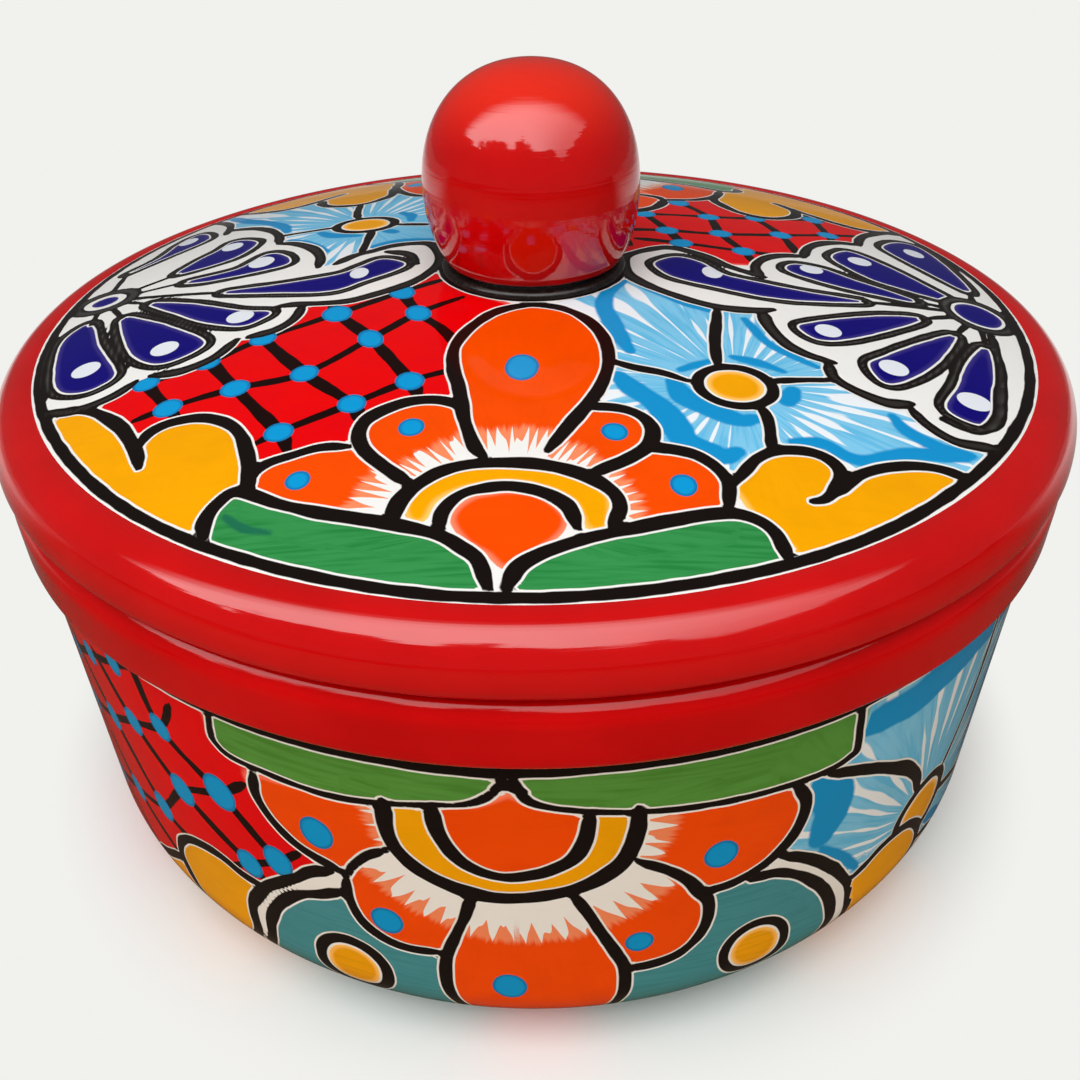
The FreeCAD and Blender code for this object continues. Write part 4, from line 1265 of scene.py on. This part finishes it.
def lid_hearts_back(art):
    """The yellow hearts at the back."""
    left = [(55, 68), (52, 60.5), (53, 53.7), (56.8, 45.7), (62.9, 42), (69, 43.9), (73.4, 48.8),
        (74.6, 55.6), (72.8, 60.5), (70.5, 64)]
    right = [(72.4, 61), (78.3, 53), (84.4, 47), (90.6, 43.9), (97.3, 45), (103, 46.5)]
    art.flood([*left[:8], *right[1:], (107, 42), (99, 55), (89, 69.5), (78, 81.5), (68, 90), (64, 84),
        (60.5, 77), (57, 72), (54, 66)], YELLOW)
    art.brush(left, 2.8)
    art.brush(right, 2.7)
    left = [(-91, 75), (-85, 70.2), (-78.7, 66.5), (-73.3, 65), (-68, 67), (-63.7, 71.3), (-60.5, 75.5),
        (-57.3, 79.8)]
    right = [(-62, 70), (-61.6, 65), (-58.9, 60.6), (-54.7, 58.2), (-50.4, 57.4), (-46.7, 59),
        (-43.5, 62.7), (-41.3, 68), (-41.9, 77.7), (-41, 86), (-42.5, 93)]
    art.flood([*left[:6], *right[1:], (-46, 101), (-55, 102), (-70, 92), (-82, 81)], YELLOW)
    art.brush(left, 2.7)
    art.brush(right, 2.7)


def lid_blue_back(art):
    """The sky-blue flower at the back left."""
    art.flood([(-21, 8), (-12, 20), (-2, 24), (-2, 104), (-40, 100), (-48, 74), (-60, 74), (-75, 74),
        (-91, 77), (-97, 68), (-90, 50), (-66, 20), (-48, 0), (-34, 4), (-24, 4)], SKY,
        (-44.5, 33.9, 180), rounded=False)
    for points, width in (
        ([(-88.9, 66.9), (-82.6, 57.5), (-74.5, 49.4), (-68.3, 41.9), (-65.8, 35)], 3.6),
        ([(-35.5, 43), (-33, 40), (-32.5, 35)], 3.4),
        ([(-55.8, 30), (-52, 26.3), (-45.1, 24.4)], 3.4),
        ([(-38, 27), (-36, 25.6)], 4.4),
        ([(-63.3, 26.3), (-57, 20.5), (-52, 13.8)], 3.2),
        ([(-41, 14), (-34, 18), (-26, 18)], 3.0),
    ):
        art.brush(points, width, "deep", point=5)
    art.brush([(-47.4, 40.8), (-48.6, 47), (-49, 57)], 2.4)
    art.brush([(-52.8, 33.7), (-60, 32.6), (-68, 31.4)], 2.0)
    art.brush([(-36, 32), (-30, 31), (-26, 30.2)], 2.0)
    art.brush([(-41.9, 27.5), (-42.3, 16.7), (-42.6, 10.5)], 2.3)
    art.eye(-44.5, 33.9, 5.9, 4.8, 2.4, gap=0.5)


for motif in (
    lid_net_back, lid_blue_back, lid_flower_back, lid_hearts_back, lid_net_front, lid_blue_front,
    lid_heart_left, lid_heart_right, lid_flower, lid_fan_right, lid_fan_left,
):
    motif(lid_art)

# a ring turned on the wheel round the disc, inside the rolled edge, and one round the collar
spread = np.hypot(lid_x, lid_y)
around = np.arctan2(lid_y, lid_x)
edge_ring = EDGE_RING + 0.15 * np.sin(3 * around) + 0.12 * np.sin(11 * around + 1)
ringed = np.abs(spread - edge_ring) - 1.15 < lid_art.marks["ink"]
lid_art.wash[ringed] = 0
for ring, half in ((edge_ring, 1.15), (COLLAR_RING, 1.0)):
    lid_art.marks["ink"] = np.minimum(lid_art.marks["ink"], np.abs(spread - ring) - half)
for kind in lid_art.marks:
    if kind != "ink":
        lid_art.marks[kind] = np.maximum(lid_art.marks[kind], spread - edge_ring - 0.2)
    lid_art.marks[kind][~on_top] = Painting.REACH
lid_art.marks["cell"] = np.maximum(lid_art.marks["cell"], COLLAR_RING + 0.3 - spread)
lid_art.dry()


def lid_lane(place, middle, normal):
    """The top as one disc that fills the square, with the underside small in a free corner."""
    radius = np.hypot(place[:, 0], place[:, 1])
    turn = np.arctan2(place[:, 1], place[:, 0])
    mid_radius = np.hypot(middle[:, 0], middle[:, 1])
    edge = (mid_radius > DISC_RADIUS - 0.2) & (np.abs(normal[:, 2]) < 0.1)
    bore = (mid_radius < VENT_RADIUS + 0.1) & (np.abs(normal[:, 2]) < 0.1)
    top = (normal[:, 2] > 0.5) | edge
    out = np.where(edge, DISC_RADIUS + (DISC_EDGE - place[:, 2]) * 0.5, radius)
    whole = disc((0.5, 0.5), 0.497 / 120, out, turn)
    inner = np.where(bore, radius + (under_crown - place[:, 2]) * 0.3, radius)
    small = disc((0.072, 0.072), 0.066 / 118, inner, turn)
    return np.where(top[:, None], whole, small)


map_rings(lid, lid_lane)
majolica = painted_glaze("painted_majolica_lid", 1.15, 4.0, 9.0, 0.95)
finish_piece(lid, majolica, "lid", "painted_glaze", "lid_dome")

# ---- lid's rolled edge ---------------------------------------------------------------------
# A thick coil luted round the disc and rounded over by hand, under the same red glaze as the band.
# Its level underside rests on the band. It keeps a few soft waves from the potter's palm.
ROLL_RADIUS = 125.0
LIP_HEIGHT = 3.4
LIP_WIDTH = 5.0
ROLL_FULLNESS = 0.6
ROLL_LIFT = 2.2         # the coil rises a little before it turns over
FLANGE_RADIUS = 108.5

fall = DISC_RADIUS - PAD_RADIUS
dome_rise = CROWN - DISC_EDGE
slope = 2 * fall * dome_rise / (fall * fall - dome_rise * dome_rise)
width = ROLL_RADIUS - DISC_RADIUS
widest = BAND_TOP + LIP_HEIGHT
fullness = ROLL_FULLNESS * width
handles = (
    (DISC_RADIUS, DISC_EDGE),
    (DISC_RADIUS + fullness, DISC_EDGE - fullness * slope + ROLL_LIFT),
    (ROLL_RADIUS, widest + ROLL_FULLNESS * (DISC_EDGE - widest)),
    (ROLL_RADIUS, widest),
)
shoulder = []
for step in range(25):
    t = step / 24
    shares = ((1 - t) ** 3, 3 * (1 - t) ** 2 * t, 3 * (1 - t) * t * t, t ** 3)
    shoulder.append(tuple(sum(s * h[axis] for s, h in zip(shares, handles)) for axis in (0, 1)))
lip = [
    (ROLL_RADIUS - LIP_WIDTH * (1 - x), widest + LIP_HEIGHT * y)
    for x, y in arc((0, 0), 1, 0, -90, 8)
]
roll = lathe(
    "lid_rolled_edge",
    shoulder
    + lip
    + run((ROLL_RADIUS - LIP_WIDTH, BAND_TOP), (FLANGE_RADIUS, BAND_TOP), 4)
    + run((FLANGE_RADIUS, BAND_TOP), (FLANGE_RADIUS, LAND), 2)
    + run((FLANGE_RADIUS, LAND), (DISC_RADIUS, LAND), 2)
    + run((DISC_RADIUS, LAND), (DISC_RADIUS, DISC_EDGE), 2),
    360,
)
uneven(roll, 0.5, ((2, 2.1, 0.0), (3, 0.3, 0.03), (7, 1.1, -0.05)),
       keep=lambda spots: np.hypot(spots[:, 0], spots[:, 1]) < 117)
finish_piece(roll, red_glaze("red_majolica_roll", 1.68), "lid", "red_glaze", "lid_rim_roll")

# ---- lid's flange --------------------------------------------------------------------------
# The ring under the lid that drops into the mouth. It is thrown with the lid and has the same
# thin white glaze, which breaks to the buff clay on its lower edge, where it meets the bowl.
WORN_FROM = 98.5        # heights between which the glaze wears through
WORN_TO = 99.7

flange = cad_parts["lid_locating_flange"]
white_glaze, tree, shader = new_material("white_tin_glaze")
place = add(tree, "ShaderNodeTexCoord").outputs["Object"]
pools = add(tree, NOISE, {"Vector": place, "Scale": 70.0, "Detail": 3.0})
height = add(tree, SPLIT, {0: place}).outputs[2]
lowest = add(tree, RAMP, {0: height, 1: WORN_FROM * MM, 2: WORN_TO * MM, 3: 1.0, 4: 0.0})
patchy = add(tree, MATH, {0: lowest, 1: pools}, **TIMES)
white = add(tree, MIX, {0: pools, 6: colour("EFEAE0"), 7: colour("F8F5EF")}, **RGBA)
worn = add(tree, MIX, {0: patchy, 6: white.outputs[2], 7: colour(CLAY)}, **RGBA)
gloss = add(tree, RAMP, {0: pools, 1: 0.3, 2: 0.7, 3: 0.12, 4: 0.25})
dimples = add(tree, NOISE, {"Vector": place, "Scale": 300.0, "Detail": 1.0})
relief = add(tree, "ShaderNodeBump", {"Strength": 0.1, "Distance": 0.0003, "Height": dimples})
tree.links.new(worn.outputs[2], shader.inputs["Base Color"])
tree.links.new(gloss.outputs[0], shader.inputs["Roughness"])
tree.links.new(relief.outputs[0], shader.inputs["Normal"])
flange.data.materials.clear()
flange.data.materials.append(white_glaze)

# ---- knob ----------------------------------------------------------------------------------
# A hollow ball of clay on a short neck, pinched and paddled round by hand, so that it is a little
# flat at the top and fuller on one side. It has the same red glaze as the rim.
KNOB_RADIUS = 25.3
KNOB_HALF_HEIGHT = 27.3
KNOB_NECK = 20.0
KNOB_WALL = 5.0
NECK_TOP = 134.6
KNOB_SQUARENESS = 0.9   # of the upper half: 1 is an oval, less is squarer
LAP = 136.4             # height up to which the collar's black laps over the neck
TOP_LIGHT_FROM = 163.0       # heights between which the knob's top is painted lighter and oranger: painted light from above
TOP_LIGHT_TO = 177.0


def ball(radius, half_height, first, last, middle, count):
    """Points of an upright oval's outline, between two angles in degrees."""
    turns = [math.radians(first + (last - first) * i / count) for i in range(count + 1)]
    return [
        (radius * max(math.cos(t), 0) ** (KNOB_SQUARENESS if t > 0 else 1),
         middle + half_height * (math.sin(t) ** KNOB_SQUARENESS if t > 0 else math.sin(t)))
        for t in turns
    ]


share = KNOB_NECK / KNOB_RADIUS
middle = NECK_TOP + KNOB_HALF_HEIGHT * math.sqrt(1 - share * share)
bore = KNOB_NECK - KNOB_WALL
hollow = KNOB_RADIUS - KNOB_WALL
hollow_height = KNOB_HALF_HEIGHT - KNOB_WALL
knob = lathe(
    "lid_ball_knob",
    run((bore, CROWN), (KNOB_NECK, CROWN), 2)
    + run((KNOB_NECK, CROWN), (KNOB_NECK, NECK_TOP), 2)
    + ball(KNOB_RADIUS, KNOB_HALF_HEIGHT, -math.degrees(math.acos(share)), 90, middle, 60)
    + ball(hollow, hollow_height, 90, -math.degrees(math.acos(bore / hollow)), middle, 20),
    192,
)
spots = corners_of(knob)
lifted = np.clip((spots[:, 2] - NECK_TOP - 2) / 12, 0, 1)
palm = np.sin(spots @ (0.07, 0.05, 0.03) + 0.8) + np.sin(spots @ (-0.06, 0.08, 0.05) + 2.1)
dent = lifted * 0.22 * (2 + palm)
offset = spots - (0, 0, middle)
reach = np.linalg.norm(offset, axis=1)
spots = (0, 0, middle) + offset * ((reach - dent) / np.maximum(reach, 1))[:, None]
knob.data.vertices.foreach_set("co", (spots * MM).ravel())
knob.data.update()
glaze = red_glaze("red_majolica_knob", 1.68)
tree, shader = glaze.node_tree, glaze.node_tree.nodes["Principled BSDF"]
red = shader.inputs["Base Color"].links[0].from_socket
place = add(tree, "ShaderNodeTexCoord").outputs["Object"]
wander = add(tree, NOISE, {"Vector": place, "Scale": 70.0})
height = add(tree, SPLIT, {0: place}).outputs[2]
height = add(tree, MATH, {0: wander, 1: MM, 2: height}, operation="MULTIPLY_ADD")
lapped = add(tree, RAMP, {0: height, 1: (LAP + 0.2) * MM, 2: (LAP - 0.2) * MM}, **SOFT)
# painted light from above: the knob's top is painted a lighter, oranger red
thin_and_top_light = add(tree, RAMP, {0: height, 1: TOP_LIGHT_FROM * MM, 2: TOP_LIGHT_TO * MM, 3: 0.0, 4: 0.8}, **SOFT)
tone = add(tree, MIX, {0: thin_and_top_light, 6: red, 7: colour("F4301A")}, **RGBA)
tone = add(tree, MIX, {0: lapped, 6: tone.outputs[2], 7: colour(OUTLINE_BLACK)}, **RGBA)
tree.links.new(tone.outputs[2], shader.inputs["Base Color"])
finish_piece(knob, glaze, "lid", "red_glaze", "lid_knob")

# ---- collar --------------------------------------------------------------------------------
# A bead of slip round the neck that seals the knob to the lid, painted with the same black as the
# outlines, in one turn of the wheel.
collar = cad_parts["knob_collar"]
black_line, tree, shader = new_material("black_outline_glaze")
place = add(tree, "ShaderNodeTexCoord").outputs["Object"]
streaks = add(tree, NOISE, {"Vector": place, "Scale": 500.0, "Detail": 2.0})
tone = add(tree, MIX, {0: streaks, 6: colour("0E0908"), 7: colour("2A201C")}, **RGBA)
gloss = add(tree, RAMP, {0: streaks, 1: 0.3, 2: 0.7, 3: 0.15, 4: 0.35})
relief = add(tree, "ShaderNodeBump", {"Strength": 0.2, "Distance": 0.0002, "Height": streaks})
tree.links.new(tone.outputs[2], shader.inputs["Base Color"])
tree.links.new(gloss.outputs[0], shader.inputs["Roughness"])
tree.links.new(relief.outputs[0], shader.inputs["Normal"])
collar.data.materials.clear()
collar.data.materials.append(black_line)
